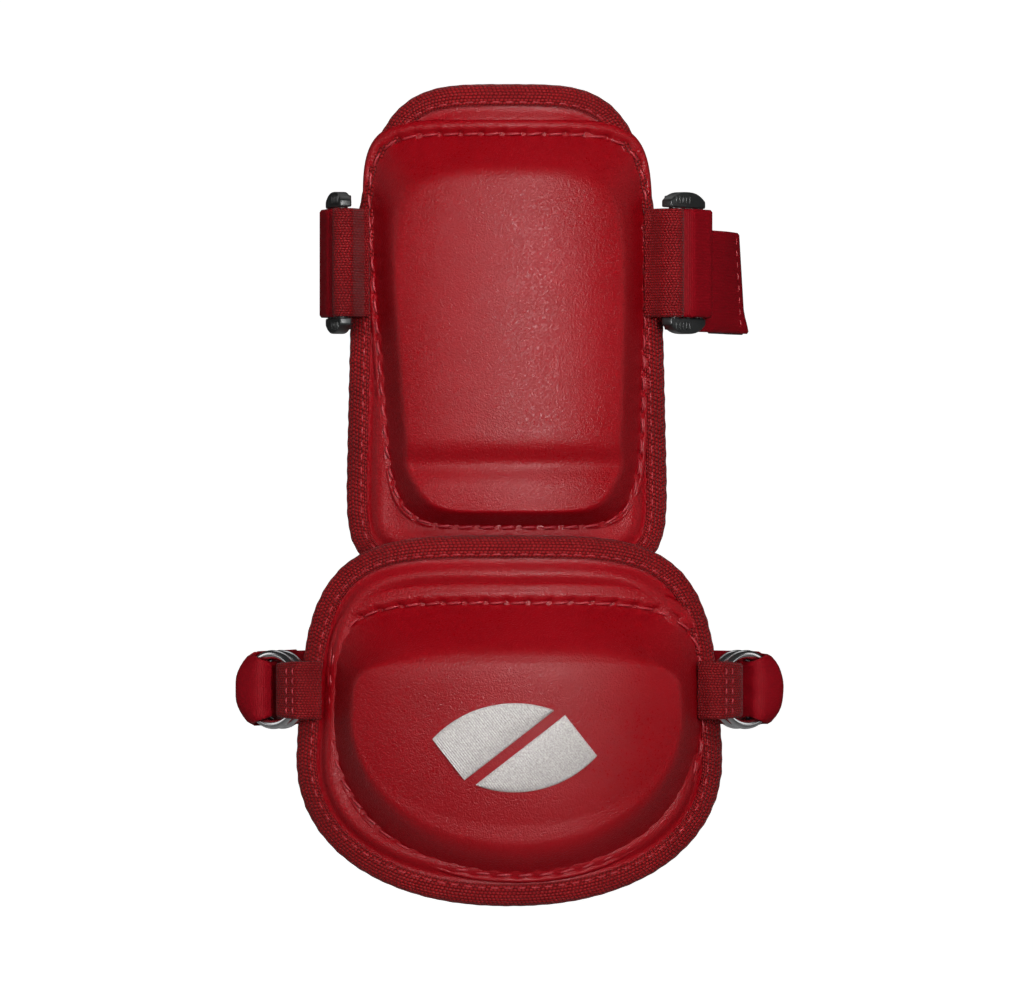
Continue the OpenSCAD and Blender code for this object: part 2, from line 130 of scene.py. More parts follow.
BUCKLE_TURN = {1: math.radians(58), -1: math.radians(76)}
BUCKLE_AT = {1: (52.6, -44.4), -1: (-50.4, -46.2)}
BAR_U = 6.9
BAR_D = 3.0
BAR_GAP = 0.35
FOLD_N = BAR_D / 2 + BAR_GAP + STRAP_T / 2
LOOP_AT = (1.2, -3.0)
LOOP_R = 54.0
RING_TURN = math.radians(44)
RING_ORIGIN = (60.4, -58.2)
RING_U = 11.6
RING_R = 11.7
WIRE_D = 2.6
RING_N = WIRE_D / 2 + 0.3
RING_TAB_W = 17.2
RING_TAB_SLACK = 0.55
MID_X = 0.4
LOWER_LOOP_AT = (0.4, -6.0)
LOWER_LOOP_R = 55.0
SIDES = ((1, "right"), (-1, "left"))


# ---------------------------------------------------------------- materials

class Nodes:
    """A short way to write a node tree: each call makes one node and returns its main output."""

    def __init__(self, material):
        self.tree = material.node_tree
        self.shader = self.tree.nodes["Principled BSDF"]

    def make(self, kind, inputs=(), out=0, **settings):
        node = self.tree.nodes.new(kind)
        for key, value in settings.items():
            setattr(node, key, value)
        for key, value in dict(inputs).items():
            self.plug(node.inputs[key], value)
        return node.outputs[out]

    def plug(self, socket, value):
        if isinstance(value, bpy.types.NodeSocket):
            self.tree.links.new(value, socket)
        else:
            socket.default_value = value

    def math(self, operation, a, b=0.0, c=0.0):
        return self.make("ShaderNodeMath", {0: a, 1: b, 2: c}, operation=operation)

    def ramp(self, value, low, high, to_low, to_high):
        return self.make("ShaderNodeMapRange", {0: value, 1: low, 2: high, 3: to_low, 4: to_high})

    def mix(self, factor, a, b):
        node = self.tree.nodes.new("ShaderNodeMix")
        node.data_type = "RGBA"
        self.plug(node.inputs["Factor"], factor)
        self.plug(node.inputs[6], a)
        self.plug(node.inputs[7], b)
        return node.outputs[2]

    def place(self):
        return self.make("ShaderNodeTexCoord", out="Object")

    def noise(self, scale, detail=3.0, rough=0.55):
        return self.make("ShaderNodeTexNoise",
                         {"Vector": self.place(), "Scale": scale, "Detail": detail, "Roughness": rough})

    def cells(self, scale):
        return self.make("ShaderNodeTexVoronoi", {"Vector": self.place(), "Scale": scale})

    def bump(self, height, distance, strength=1.0, normal=None):
        inputs = {"Height": height, "Distance": distance, "Strength": strength}
        if normal is not None:
            inputs["Normal"] = normal
        return self.make("ShaderNodeBump", inputs)

    def strip(self):
        """Length and width along a woven piece, in millimetres."""
        uv = self.make("ShaderNodeUVMap", uv_map="weave")
        split = self.tree.nodes.new("ShaderNodeSeparateXYZ")
        self.tree.links.new(uv, split.inputs[0])
        return split.outputs[0], split.outputs[1]


def rgb(r, g, b):
    return (r, g, b, 1.0)


def new_material(name, color, rough, **constants):
    material = bpy.data.materials.new(name)
    material.use_nodes = True
    n = Nodes(material)
    n.plug(n.shader.inputs["Base Color"], rgb(*color))
    n.plug(n.shader.inputs["Roughness"], rough)
    for socket, value in constants.items():
        n.plug(n.shader.inputs[socket.replace("_", " ")], value)
    return material, n


def leather_material():
    material, n = new_material("red_leather", (0.2, 0.001, 0.004), 0.38, Specular_IOR_Level=0.26)
    blotch = n.noise(38.0, 4.0)
    fine = n.noise(1500.0, 2.0, 0.6)
    color = n.mix(n.ramp(blotch, 0.3, 0.7, 0.0, 1.0), rgb(0.185, 0.0004, 0.0028), rgb(0.215, 0.0008, 0.0042))
    tint = n.mix(n.ramp(fine, 0.35, 0.75, 0.0, 0.3), color, rgb(0.15, 0.0004, 0.0022))
    n.plug(n.shader.inputs["Base Color"], tint)
    n.plug(n.shader.inputs["Roughness"], n.math("ADD", n.ramp(fine, 0.35, 0.65, 0.28, 0.46),
                                                n.ramp(blotch, 0.3, 0.7, -0.03, 0.03)))
    pores = n.ramp(n.cells(1900.0), 0.0, 0.62, 0.0, 1.0)
    creases = n.ramp(n.noise(1250.0, 3.0), 0.3, 0.7, 0.0, 1.0)
    first = n.bump(pores, 0.00013, 0.7)
    n.plug(n.shader.inputs["Normal"], n.bump(creases, 0.00011, 0.6, first))
    return material


def woven_material(name, dark, light, pitch, rough, depth, rows=4):
    """Twill whose diagonal turns back every few rows, drawn from length and width in millimetres; its yarn
    crests are painted light as glints, and the gaps between yarns dark as painted shade.
    """
    material, n = new_material(name, dark, rough, Specular_IOR_Level=0.12, Sheen_Weight=0.04,
                               Sheen_Roughness=0.4)
    along, across = n.strip()
    row = n.math("DIVIDE", across, pitch * 0.8)
    index = n.math("FLOOR", row)
    shift = n.math("MULTIPLY", n.math("PINGPONG", index, float(rows)), 0.33)
    column = n.math("ADD", n.math("DIVIDE", along, pitch), shift)
    in_row = n.math("SINE", n.math("MULTIPLY", n.math("FRACT", row), math.pi))
    in_column = n.math("SINE", n.math("MULTIPLY", n.math("FRACT", column), math.pi))
    yarn = n.math("POWER", n.math("MULTIPLY", in_row, in_column), 0.6)
    fuzz = n.noise(900.0, 3.0)
    height = n.math("ADD", yarn, n.math("MULTIPLY", fuzz, 0.25))
    # Painted glint and shade: yarn crests take the light colour, and the gaps between yarns take the dark
    # colour.
    color = n.mix(n.ramp(yarn, 0.1, 0.95, 0.0, 1.0), rgb(*dark), rgb(*light))
    worn = n.mix(n.ramp(n.noise(55.0, 4.0), 0.35, 0.75, 0.0, 0.35), color, rgb(*(0.6 * c for c in dark)))
    n.plug(n.shader.inputs["Base Color"], worn)
    n.plug(n.shader.inputs["Normal"], n.bump(height, depth, 0.9))
    return material


def ribbed_material(name, dark, light, pitch, rough, sheen):
    """Close ribs across a strap, as on brushed elastic, with the rib crests painted lighter as a painted
    highlight.
    """
    material, n = new_material(name, dark, rough, Specular_IOR_Level=0.08, Sheen_Weight=sheen,
                               Sheen_Roughness=0.5)
    along, across = n.strip()
    rib = n.math("SINE", n.math("MULTIPLY", along, 2 * math.pi / pitch))
    line = n.math("SINE", n.math("MULTIPLY", across, 2 * math.pi / (pitch * 1.6)))
    fuzz = n.noise(1300.0, 4.0)
    height = n.math("ADD", n.math("ADD", n.math("MULTIPLY", rib, 0.35), n.math("MULTIPLY", line, 0.15)), fuzz)
    # Partly painted light: rib crests are painted lighter and rib hollows darker as painted shade, and the
    # fuzz adds random tone.
    rib_shade_and_tone = n.math("ADD", n.math("MULTIPLY", rib, 0.12), n.ramp(fuzz, 0.3, 0.7, 0.2, 0.9))
    n.plug(n.shader.inputs["Base Color"], n.mix(rib_shade_and_tone, rgb(*dark), rgb(*light)))
    n.plug(n.shader.inputs["Normal"], n.bump(height, 0.00012, 0.7))
    return material


def grained_material(name, dark, light, scale, rough, depth, **constants):
    """Plain stuff with a fine grain: moulded plastic, foam, thread, lining."""
    material, n = new_material(name, dark, rough, **constants)
    grain = n.noise(scale, 4.0)
    n.plug(n.shader.inputs["Base Color"], n.mix(n.ramp(grain, 0.35, 0.65, 0.0, 1.0), rgb(*dark), rgb(*light)))
    gloss = n.ramp(n.noise(scale * 0.2, 3.0), 0.3, 0.7, rough - 0.06, rough + 0.06)
    n.plug(n.shader.inputs["Roughness"], gloss)
    n.plug(n.shader.inputs["Normal"], n.bump(grain, depth, 0.6))
    return material


def mesh_cloth_material(name, dark, light, scale, rough):
    """Knitted lining with a close pattern of small holes, which are painted dark as shade."""
    material, n = new_material(name, dark, rough, Sheen_Weight=0.4, Sheen_Roughness=0.5,
                               Specular_IOR_Level=0.25)
    hole = n.ramp(n.cells(scale), 0.12, 0.42, 0.0, 1.0)
    fuzz = n.noise(1600.0, 3.0)
    # Painted shade: the holes take the dark colour, and the knit between them takes the light one.
    n.plug(n.shader.inputs["Base Color"], n.mix(hole, rgb(*dark), rgb(*light)))
    n.plug(n.shader.inputs["Normal"], n.bump(n.math("ADD", hole, n.math("MULTIPLY", fuzz, 0.3)), 0.0003, 0.8))
    return material


LEATHER = leather_material()
# The second colour of each weave is a painted glint on its yarn crests.
BINDING = woven_material("binding_twill", (0.05, 0.0002, 0.001), (0.24, 0.004, 0.006), 1.2, 0.5, depth=0.0003)
WEBBING = woven_material("webbing_weave", (0.05, 0.0002, 0.001), (0.20, 0.003, 0.005), 0.95, 0.5, rows=3,
                         depth=0.00024)
# Part of each ribbed strap's lighter colour is a painted highlight on its rib crests.
SATIN = ribbed_material("strap_elastic", (0.12, 0.0002, 0.0026), (0.18, 0.0006, 0.0046), 0.55, 0.62, 0.0)
LOOP_PILE = ribbed_material("loop_pile", (0.075, 0.001, 0.003), (0.16, 0.004, 0.008), 0.4, 0.9, 0.08)
HOOK_PILE = grained_material("hook_tape", (0.006, 0.006, 0.007), (0.03, 0.03, 0.032), 1800.0, 0.6, 0.0004)
THREAD = grained_material("stitch_thread", (0.17, 0.004, 0.008), (0.34, 0.02, 0.028), 2600.0, 0.5, 0.00005,
                          Specular_IOR_Level=0.4)
EMBLEM = grained_material("emblem_thread", (0.27, 0.25, 0.24), (0.46, 0.435, 0.42), 1900.0, 0.42, 0.00005,
                          Specular_IOR_Level=0.4)
PLASTIC = grained_material("buckle_plastic", (0.008, 0.009, 0.009), (0.013, 0.014, 0.014), 1400.0, 0.36,
                           0.00003, Specular_IOR_Level=0.5)
SHELL_PLASTIC = grained_material("shell_plastic", (0.010, 0.010, 0.011), (0.016, 0.016, 0.017), 700.0, 0.5,
                                 0.00006)
FOAM = grained_material("foam", (0.03, 0.03, 0.033), (0.06, 0.06, 0.063), 1100.0, 0.9, 0.0002)
# The lining's dark colour is painted shade in its holes.
LINING = mesh_cloth_material("lining_mesh", (0.006, 0.006, 0.007), (0.035, 0.035, 0.038), 620.0, 0.85)
STEEL = grained_material("ring_steel", (0.62, 0.62, 0.63), (0.72, 0.72, 0.73), 500.0, 0.18, 0.00001,
                         Metallic=1.0)


# ---------------------------------------------------------------- mesh helpers

def place_object(name, data):
    obj = bpy.data.objects.new(name, data)
    bpy.context.scene.collection.objects.link(obj)
    return obj


def make_object(name, points, faces, material, uv=None):
    """A mesh from millimetre points. uv holds one length and width for each corner, in millimetres."""
    mesh = bpy.data.meshes.new(name)
    mesh.from_pydata((np.asarray(points, float) * MM).tolist(), [], [list(map(int, f)) for f in faces])
    mesh.validate()
    if uv is not None:
        layer = mesh.uv_layers.new(name="weave")
        layer.data.foreach_set("uv", np.asarray(uv, np.float32).ravel())
    mesh.materials.append(material)
    mesh.polygons.foreach_set("use_smooth", [True] * len(mesh.polygons))
    mesh.update()
    return place_object(name, mesh)


def tidy_normals(obj):
    bm = bmesh.new()
    bm.from_mesh(obj.data)
    bmesh.ops.recalc_face_normals(bm, faces=bm.faces)
    bm.to_mesh(obj.data)
    bm.free()
    return obj


def apply_modifiers(obj):
    graph = bpy.context.evaluated_depsgraph_get()
    mesh = bpy.data.meshes.new_from_object(obj.evaluated_get(graph), depsgraph=graph)
    obj.modifiers.clear()
    obj.data = mesh
    return obj


def subdivide(obj, levels):
    modifier = obj.modifiers.new("smooth", "SUBSURF")
    modifier.levels = modifier.render_levels = levels
    return apply_modifiers(obj)


def join(name, objects):
    """One object from several, with their material slots merged."""
    with bpy.context.temp_override(active_object=objects[0], selected_editable_objects=objects):
        bpy.ops.object.join()
    objects[0].name = objects[0].data.name = name
    return objects[0]


def finish_piece(obj, body, slot, *nodes):
    """Says what a new piece rides on, and which CAD nodes it stands for, which it hides. slot is not used."""
    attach(obj, body)
    if nodes:
        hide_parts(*nodes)
    return obj


def finish_blend(obj, slot, bodies, start, end, *nodes):
    """Hides the CAD nodes of a piece that lies between two bodies, and bakes its placement into its mesh.
    slot, bodies, start and end are not used.
    """
    if nodes:
        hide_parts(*nodes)
    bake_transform(obj)
    return obj


def smooth_step(v, low, high):
    t = np.clip((v - low) / (high - low), 0, 1)
    return t * t * (3 - 2 * t)


def smooth_min(a, b, k):
    h = np.clip(0.5 + 0.5 * (b - a) / k, 0, 1)
    return b * (1 - h) + a * h - k * h * (1 - h)


def smooth_max(a, b, k):
    return -smooth_min(-a, -b, k)


def run_length(path):
    """Length from the start of an open path to each of its points."""
    return np.concatenate([[0], np.cumsum(np.linalg.norm(np.diff(path, axis=0), axis=1))])


def look_up(at, length, points):
    """Points at given lengths along a path."""
    return np.stack([np.interp(at, length, points[:, i]) for i in range(points.shape[1])], -1)


def loop_length(points):
    """Length from the start of a closed loop to each of its points, and at last its whole length."""
    steps = np.linalg.norm(np.roll(points, -1, 0) - points, axis=1)
    return np.concatenate([[0.0], np.cumsum(steps)])


def resample_loop(points, count):
    """count points evenly spaced along a closed loop."""
    length = loop_length(points)
    return look_up(np.arange(count) / count * length[-1], length, np.vstack([points, points[:1]]))


def outward_normals(loop):
    """Unit normals in the loop's own plane, away from its middle."""
    t = np.roll(loop, -1, 0) - np.roll(loop, 1, 0)
    n = np.stack([t[:, 1], -t[:, 0]], -1)
    n /= np.linalg.norm(n, axis=1)[:, None]
    flip = np.sign(np.sum(n * (loop - loop.mean(0))))
    return n * flip


def cornered_loop(points, mid, corners, count):
    """A loop of count points whose quarters start where the outline passes the given angles."""
    angle = np.degrees(np.arctan2(points[:, 1] - mid[1], points[:, 0] - mid[0]))
    starts = [int(np.argmin(np.abs((angle - c + 180) % 360 - 180))) for c in corners]
    pieces = []
    for first, last in zip(starts, starts[1:] + starts[:1]):
        last = last + len(points) if last <= first else last
        run = points[np.arange(first, last + 1) % len(points)]
        length = run_length(run)
        pieces.append(look_up(np.arange(count // 4) / (count // 4) * length[-1], length, run))
    return np.vstack(pieces)


class Disc:
    """A square grid laid on an outline. Ring k is the outline scaled towards the middle, without a pole."""

    def __init__(self, outline, mid, corners, rings):
        self.mid = np.array(mid)
        size = 2 * rings + 1
        a, b = np.meshgrid(np.arange(size) - rings, np.arange(size) - rings, indexing="ij")
        k = np.maximum(np.abs(a), np.abs(b))
        safe = np.maximum(k, 1)
        t = np.where(a == k, b + k, 0)
        t = np.where((b == k) & (a < k), 3 * k - a, t)
        t = np.where((a == -k) & (b < k), 5 * k - b, t)
        t = np.where((b == -k) & (a > -k) & (a < k), 7 * k + a, t)
        self.share = np.where(k > 0, (t / (8 * safe)) % 1.0, 0.0)
        self.level = k / rings
        self.loop = cornered_loop(outline, mid, corners, 8 * rings)
        self.normals = outward_normals(self.loop)
        self.size = size

    def along(self, values):
        """Values given round the outline, looked up for every grid point."""
        count = len(self.loop)
        at = self.share * count
        low = np.floor(at).astype(int) % count
        high = (low + 1) % count
        w = at - np.floor(at)
        if values.ndim > 1:
            w = w[..., None]
        return values[low] * (1 - w) + values[high] * w

    def faces(self, flip=False):
        i, j = np.meshgrid(np.arange(self.size - 1), np.arange(self.size - 1), indexing="ij")
        a = (i * self.size + j).ravel()
        quads = np.stack([a, a + self.size, a + self.size + 1, a + 1], -1)
        return quads[:, ::-1] if flip else quads

    def rim(self):
        """Indices of the outer ring, in order."""
        s = self.size
        right = [(s - 1) * s + j for j in range(s - 1)]
        top = [i * s + s - 1 for i in range(s - 1, 0, -1)]
        left = list(range(s - 1, 0, -1))
        bottom = [i * s for i in range(s - 1)]
        return np.array(right + top + left + bottom)


def grid_solid(rows, cols):
    """Faces of a solid between two grids of points, where the second grid's points follow the first's."""
    count = rows * cols
    index = np.arange(count).reshape(rows, cols)
    quads = np.stack([index[:-1, :-1], index[1:, :-1], index[1:, 1:], index[:-1, 1:]], -1).reshape(-1, 4)
    rim = np.concatenate([index[0, :-1], index[:-1, -1], index[-1, :0:-1], index[:0:-1, 0]])
    after = np.roll(rim, -1)
    return np.vstack([quads, quads[:, ::-1] + count, np.stack([rim, after, after + count, rim + count], -1)])


def closed_disc(name, disc, front, back, material):
    """A solid between two height fields on one grid, closed round its rim."""
    count = disc.size * disc.size
    rim = disc.rim()
    following = np.roll(rim, -1)
    sides = np.stack([rim, following, following + count, rim + count], -1)
    points = np.vstack([front.reshape(-1, 3), back.reshape(-1, 3)])
    faces = np.vstack([disc.faces(), disc.faces(flip=True) + count, sides])
    return tidy_normals(make_object(name, points, faces, material))


# ---------------------------------------------------------------- raised shells

# Angles in degrees at which each outline's four quarters start.
SHELL_CORNERS = {"arm": (-52, 52, 128, 232), "elbow": (-38, 30, 150, 218)}


def scaled_share(panel, points, scales, exponents=None):
    """How far along the ray to each outline point a ring scaled by (width, upper, lower) is crossed."""
    s = panel.shell
    z = points[..., 1] - s["mid"][1]
    top = z >= 0
    n = np.where(top, s["n_up"], s["n_low"])
    share_z = np.clip(np.abs(z) / np.where(top, s["up"], s["low"]), 0, 1) ** n
    across, along = (1 - share_z) ** (1 / n), share_z ** (1 / n)
    m = n if exponents is None else np.where(top, *exponents)
    scale_z = np.where(top, scales[1], scales[2])
    return ((across / scales[0]) ** m + (along / scale_z) ** m) ** (-1 / m)


class Rays:
    """What depends only on the direction from a shell's middle, for every point of an outline."""

    def __init__(self, panel, loop):
        self.mid = np.array(panel.shell["mid"])
        self.loop = loop
        self.crease = scaled_share(panel, loop, panel.crease, panel.crease_n)
        self.foot = scaled_share(panel, loop, panel.foot)
        self.stitch = scaled_share(panel, loop, panel.stitch)
        self.reach = np.sum((loop - self.mid) * outward_normals(loop), -1)
        self.names = ("crease", "foot", "stitch", "reach")

    def at(self, x, z):
        """The same values for any points, with how far each one is from the middle to the outline."""
        around = np.arctan2(self.loop[:, 1] - self.mid[1], self.loop[:, 0] - self.mid[0])
        turn = np.arctan2(z - self.mid[1], x - self.mid[0])
        full = np.hypot(*(self.loop - self.mid).T)
        look = lambda values: np.interp(turn, around, values, period=2 * math.pi)
        scale = np.hypot(x - self.mid[0], z - self.mid[1]) / look(full)
        return scale, [look(getattr(self, name)) for name in self.names]


def shell_profile(panel, z, scale, crease, foot, stitch, reach, rim_z):
    """Raise of the cover's surface over the skin, before its seams are pressed in."""
    from_stitch = (scale - stitch) * reach
    from_edge = (1 - scale) * reach
    face = panel.raise_mm - panel.face_drop * np.clip(scale / crease, 0, 1) ** 4
    face = face + panel.face_shape(z)
    ramp = 1.5 + (panel.raise_mm - 1.5) * 1.06 * (foot - scale) / (foot - crease)
    flank = smooth_min(ramp, face, panel.crease_round)
    raise_mm = smooth_max(flank, np.full_like(flank, 1.3), 1.1)
    # The rim rolls over outside the stitch line, and its last half millimetre turns down.
    raise_mm = raise_mm + panel.rim_roll(rim_z) * np.exp(-((from_stitch - 2.4) / 1.5) ** 2)
    return raise_mm - 0.9 * (1 - smooth_step(from_edge, 0.0, 0.7)), from_stitch


def raise_at(panel, x, z):
    """Raise of the cover over the skin at any points of its face."""
    x, z = np.atleast_1d(np.asarray(x, float)), np.atleast_1d(np.asarray(z, float))
    scale, values = Rays(panel, egg(**panel.shell)).at(x, z)
    return shell_profile(panel, z, scale, *values, z)[0]


def shell_surface(panel, disc, detail=True):
    """Positions in plan and the raise over the skin of the cover's front surface."""
    rays = Rays(panel, disc.loop)
    level = disc.level
    c, f, s, reach = (disc.along(getattr(rays, name)) for name in rays.names)
    at_crease, at_foot, at_stitch = 0.58, 0.86, 0.93  # shares of the disc's rings
    to_foot = c + (f - c) * (level - at_crease) / (at_foot - at_crease)
    to_stitch = f + (s - f) * (level - at_foot) / (at_stitch - at_foot)
    to_edge = s + (1 - s) * (level - at_stitch) / (1 - at_stitch)
    scale = np.where(level < at_stitch, to_stitch, to_edge)
    scale = np.where(level < at_foot, to_foot, scale)
    scale = np.where(level < at_crease, level / at_crease * c, scale)
    base = disc.along(disc.loop)
    plan_at = disc.mid + (base - disc.mid) * scale[..., None]
    x, z = plan_at[..., 0], plan_at[..., 1]
    raise_mm, from_stitch = shell_profile(panel, z, scale, c, f, s, reach, base[..., 1])
    if detail:
        line = disc.mid + (disc.loop - disc.mid) * rays.stitch[:, None]
        length = loop_length(line)
        count = round(length[-1] / STITCH_PITCH)
        phase = disc.along(length[:-1]) / length[-1] * count
        from_hole = ((phase - 0.5) - np.round(phase - 0.5)) * length[-1] / count
        raise_mm = raise_mm - 0.55 * np.exp(-(from_stitch / 0.8) ** 2)
        pull = np.exp(-(from_hole / 1.5) ** 2)
        raise_mm = raise_mm - 0.5 * pull * np.exp(-((from_stitch + 1.2) / 1.6) ** 2)
        raise_mm = raise_mm - 0.3 * pull * np.exp(-((from_stitch - 1.2) / 0.9) ** 2)
        raise_mm = raise_mm - 1.3 * np.exp(-(from_hole / 0.75) ** 2 - (from_stitch / 0.65) ** 2)
    return x, z, raise_mm


def arm_face_shape(z):
    """A shallow valley across the lower face, with a second swell below it."""
    valley = -2.2 * np.exp(-((z - 129.5) / 4.0) ** 2)
    step = -0.7 * (1 - smooth_step(z, 124.0, 138.0))
    return valley + step


def elbow_face_shape(z):
    """The face falls back below its upper crease."""
    return -0.115 * np.clip(70.0 - z, 0, None) - 0.0009 * np.square(np.clip(60.0 - z, 0, None))


def arm_rim_roll(z):
    return 0.9 * smooth_step(z, 205.0, 226.0)


def elbow_rim_roll(z):
    return 0.7 * smooth_step(z, 78.0, 92.0)


ARM.face_shape, ARM.rim_roll = arm_face_shape, arm_rim_roll
ELBOW.face_shape, ELBOW.rim_roll = elbow_face_shape, elbow_rim_roll


def shell_pieces(panel, body):
    """Leather cover, hard shell and impact foam, nested under one surface."""
    outline = egg(**panel.shell)
    disc = Disc(outline, panel.shell["mid"], SHELL_CORNERS[panel.name], 100)
    x, z, raise_mm = shell_surface(panel, disc)
    skin = panel.skin_y(x)
    front = np.stack([x, skin - raise_mm, z], -1)
    back = np.stack([x, skin - np.maximum(raise_mm - COVER_T, 0.25), z], -1)
    cover = closed_disc(panel.name + "_shell_cover_leather", disc, front, back, LEATHER)
    finish_piece(cover, body, "leather", panel.name + "_shell_cover")

    rough = Disc(outline, panel.shell["mid"], SHELL_CORNERS[panel.name], 28)
    full_x, full_z, _ = shell_surface(panel, rough, detail=False)
    mid = panel.shell["mid"]
    for part, inset, over, under, material, slot in (
        ("shell", 0.035, COVER_T + 0.15, COVER_T + SHELL_T, SHELL_PLASTIC, "shell_plastic"),
        ("shell_foam", 0.10, COVER_T + SHELL_T + 0.2, None, FOAM, "foam"),
    ):
        keep = Rays(panel, rough.loop).foot.min() - inset
        px = mid[0] + (full_x - mid[0]) * keep
        pz = mid[1] + (full_z - mid[1]) * keep
        plain = raise_at(panel, px.ravel(), pz.ravel()).reshape(px.shape)
        base = panel.skin_y(px)
        top = np.maximum(plain - over, 0.5)
        low = np.full_like(plain, 0.35) if under is None else np.maximum(plain - under, 0.35)
        piece = closed_disc(f"{panel.name}_{part}_moulding", rough, np.stack([px, base - top, pz], -1),
                            np.stack([px, base - low, pz], -1), material)
        finish_piece(piece, body, slot, f"{panel.name}_{part}")
    return disc


# ---------------------------------------------------------------- stitches

THREAD_RINGS = 9
THREAD_SIDES = 8
THREAD_TURNS = 1.5


def thread_points(a, b, normal, radius, lift):
    """A short bowed thread of two twisted plies from a to b, whose ends dip into the leather."""
    a, b, normal = (np.asarray(v, float) for v in (a, b, normal))
    axis = b - a
    side = np.cross(axis, normal)
    side /= np.linalg.norm(side)
    up = np.cross(side, axis)
    up /= np.linalg.norm(up)
    points = []
    for i in range(THREAD_RINGS):
        t = i / (THREAD_RINGS - 1)
        bow = math.sin(math.pi * t) ** 0.6
        centre = a + axis * t + up * (lift * bow - radius * 0.9 * (1 - bow))
        size = radius * (0.55 + 0.45 * min(1.0, 4 * t, 4 * (1 - t)))
        for j in range(THREAD_SIDES):
            angle = 2 * math.pi * j / THREAD_SIDES
            ply = 1 + 0.16 * math.cos(2 * (angle - THREAD_TURNS * 2 * math.pi * t))
            points.append(centre + size * ply * (side * math.cos(angle) + up * math.sin(angle)))
    return points


def thread_faces(first):
    faces = []
    for i in range(THREAD_RINGS - 1):
        low, high = first + i * THREAD_SIDES, first + (i + 1) * THREAD_SIDES
        for j in range(THREAD_SIDES):
            k = (j + 1) % THREAD_SIDES
            faces.append((low + j, low + k, high + k, high + j))
    last = first + (THREAD_RINGS - 1) * THREAD_SIDES
    faces.append(tuple(first + j for j in range(THREAD_SIDES))[::-1])
    faces.append(tuple(last + j for j in range(THREAD_SIDES)))
    return faces


def stitch_row(name, pairs, radius, lift):
    """pairs holds the two ends and the normal of each thread."""
    points, faces = [], []
    for a, b, normal in pairs:
        faces += thread_faces(len(points))
        points += thread_points(a, b, normal, radius, lift)
    return make_object(name, points, faces, THREAD)


def shell_stitches(panel, disc, body):
    rays = Rays(panel, disc.loop)
    line = disc.mid + (disc.loop - disc.mid) * rays.stitch[:, None]
    length = loop_length(line)
    count = round(length[-1] / STITCH_PITCH)
    closed = np.vstack([line, line[:1]])

    def at(phase):
        return look_up((phase / count * length[-1]) % length[-1], length, closed)

    def surface(p):
        return np.array([p[0], float(panel.skin_y(p[0]) - raise_at(panel, *p)[0]) + 0.2, p[1]])

    pairs = []
    for k in range(count):
        p, q = at(k + 0.5 + 0.08), at(k + 1.5 - 0.20)
        mid = (p + q) / 2
        inwards = (disc.mid - mid) / np.linalg.norm(disc.mid - mid)
        slant = inwards * (0.25 + draw.uniform(-0.12, 0.12))
        normal = np.array([mid[0] / panel.r, -math.sqrt(1 - (mid[0] / panel.r) ** 2), 0.0])
        pairs.append((surface(p - slant), surface(q + slant), normal))
    row = stitch_row(panel.name + "_shell_stitches", pairs, 0.37, 0.36)
    return finish_piece(row, body, "thread", panel.name + "_shell_stitching")


# ---------------------------------------------------------------- padded panels

PAD_CORNERS = {"arm": (-45, 58, 122, 225), "elbow": (-38, 40, 140, 218)}


def skin_piece(panel, body):
    """The leather face of a panel, rising to a soft roll between the binding and the shell."""
    outline = egg(**panel.outline)
    disc = Disc(outline, panel.outline["mid"], PAD_CORNERS[panel.name], 70)
    inwards = (1 - disc.level) ** 1.35
    plan = disc.mid + (disc.along(disc.loop) - disc.mid) * (1 - inwards[..., None])
    reach = disc.along(np.sum((disc.loop - disc.mid) * disc.normals, -1))
    from_edge = inwards * reach
    plan = disc.mid + (plan - disc.mid) * (1 - 1.2 / np.maximum(reach, 30.0))[..., None]
    x, z = plan[..., 0], plan[..., 1]
    roll = panel.skin_roll * np.exp(-((from_edge - BINDING_W - 3.4) / 2.6) ** 2)
    dip = -0.35 * np.exp(-((from_edge - BINDING_W + 0.2) / 1.2) ** 2)
    edge = -0.9 * (1 - smooth_step(from_edge, 0.0, 2.5))
    front = panel.offset(x, z, roll + dip + edge)
    back = panel.offset(x, z, roll * 0.3 + edge - 1.1)
    piece = closed_disc(panel.name + "_base_leather", disc, front, back, LEATHER)
    return finish_piece(piece, body, "leather", panel.name + "_base_cover")


ARM.skin_roll = 0.9
ELBOW.skin_roll = 1.7


def simulate_pad(obj, voxel, pressure, cap):
    """Inflates a closed pad by cloth simulation, and keeps every point within cap of where it was."""
    remesh = obj.modifiers.new("remesh", "REMESH")
    remesh.mode = "VOXEL"
    remesh.voxel_size = voxel * MM
    apply_modifiers(obj)
    rest = np.array([v.co for v in obj.data.vertices])
    cloth = obj.modifiers.new("cloth", "CLOTH")
    cloth.settings.quality = 5
    cloth.settings.mass = 0.25
    cloth.settings.use_pressure = True
    cloth.settings.uniform_pressure_force = pressure
    cloth.settings.effector_weights.gravity = 0.0
    scene = bpy.context.scene
    for step in range(1, 21):
        scene.frame_set(step)
    apply_modifiers(obj)
    scene.frame_set(1)
    moved = np.array([v.co for v in obj.data.vertices]) - rest
    far = np.linalg.norm(moved, axis=1)
    share = cap * MM * np.tanh(far / (cap * MM)) / np.maximum(far, 1e-9)
    obj.data.vertices.foreach_set("co", (rest + moved * share[:, None]).astype(np.float32).ravel())
    return obj


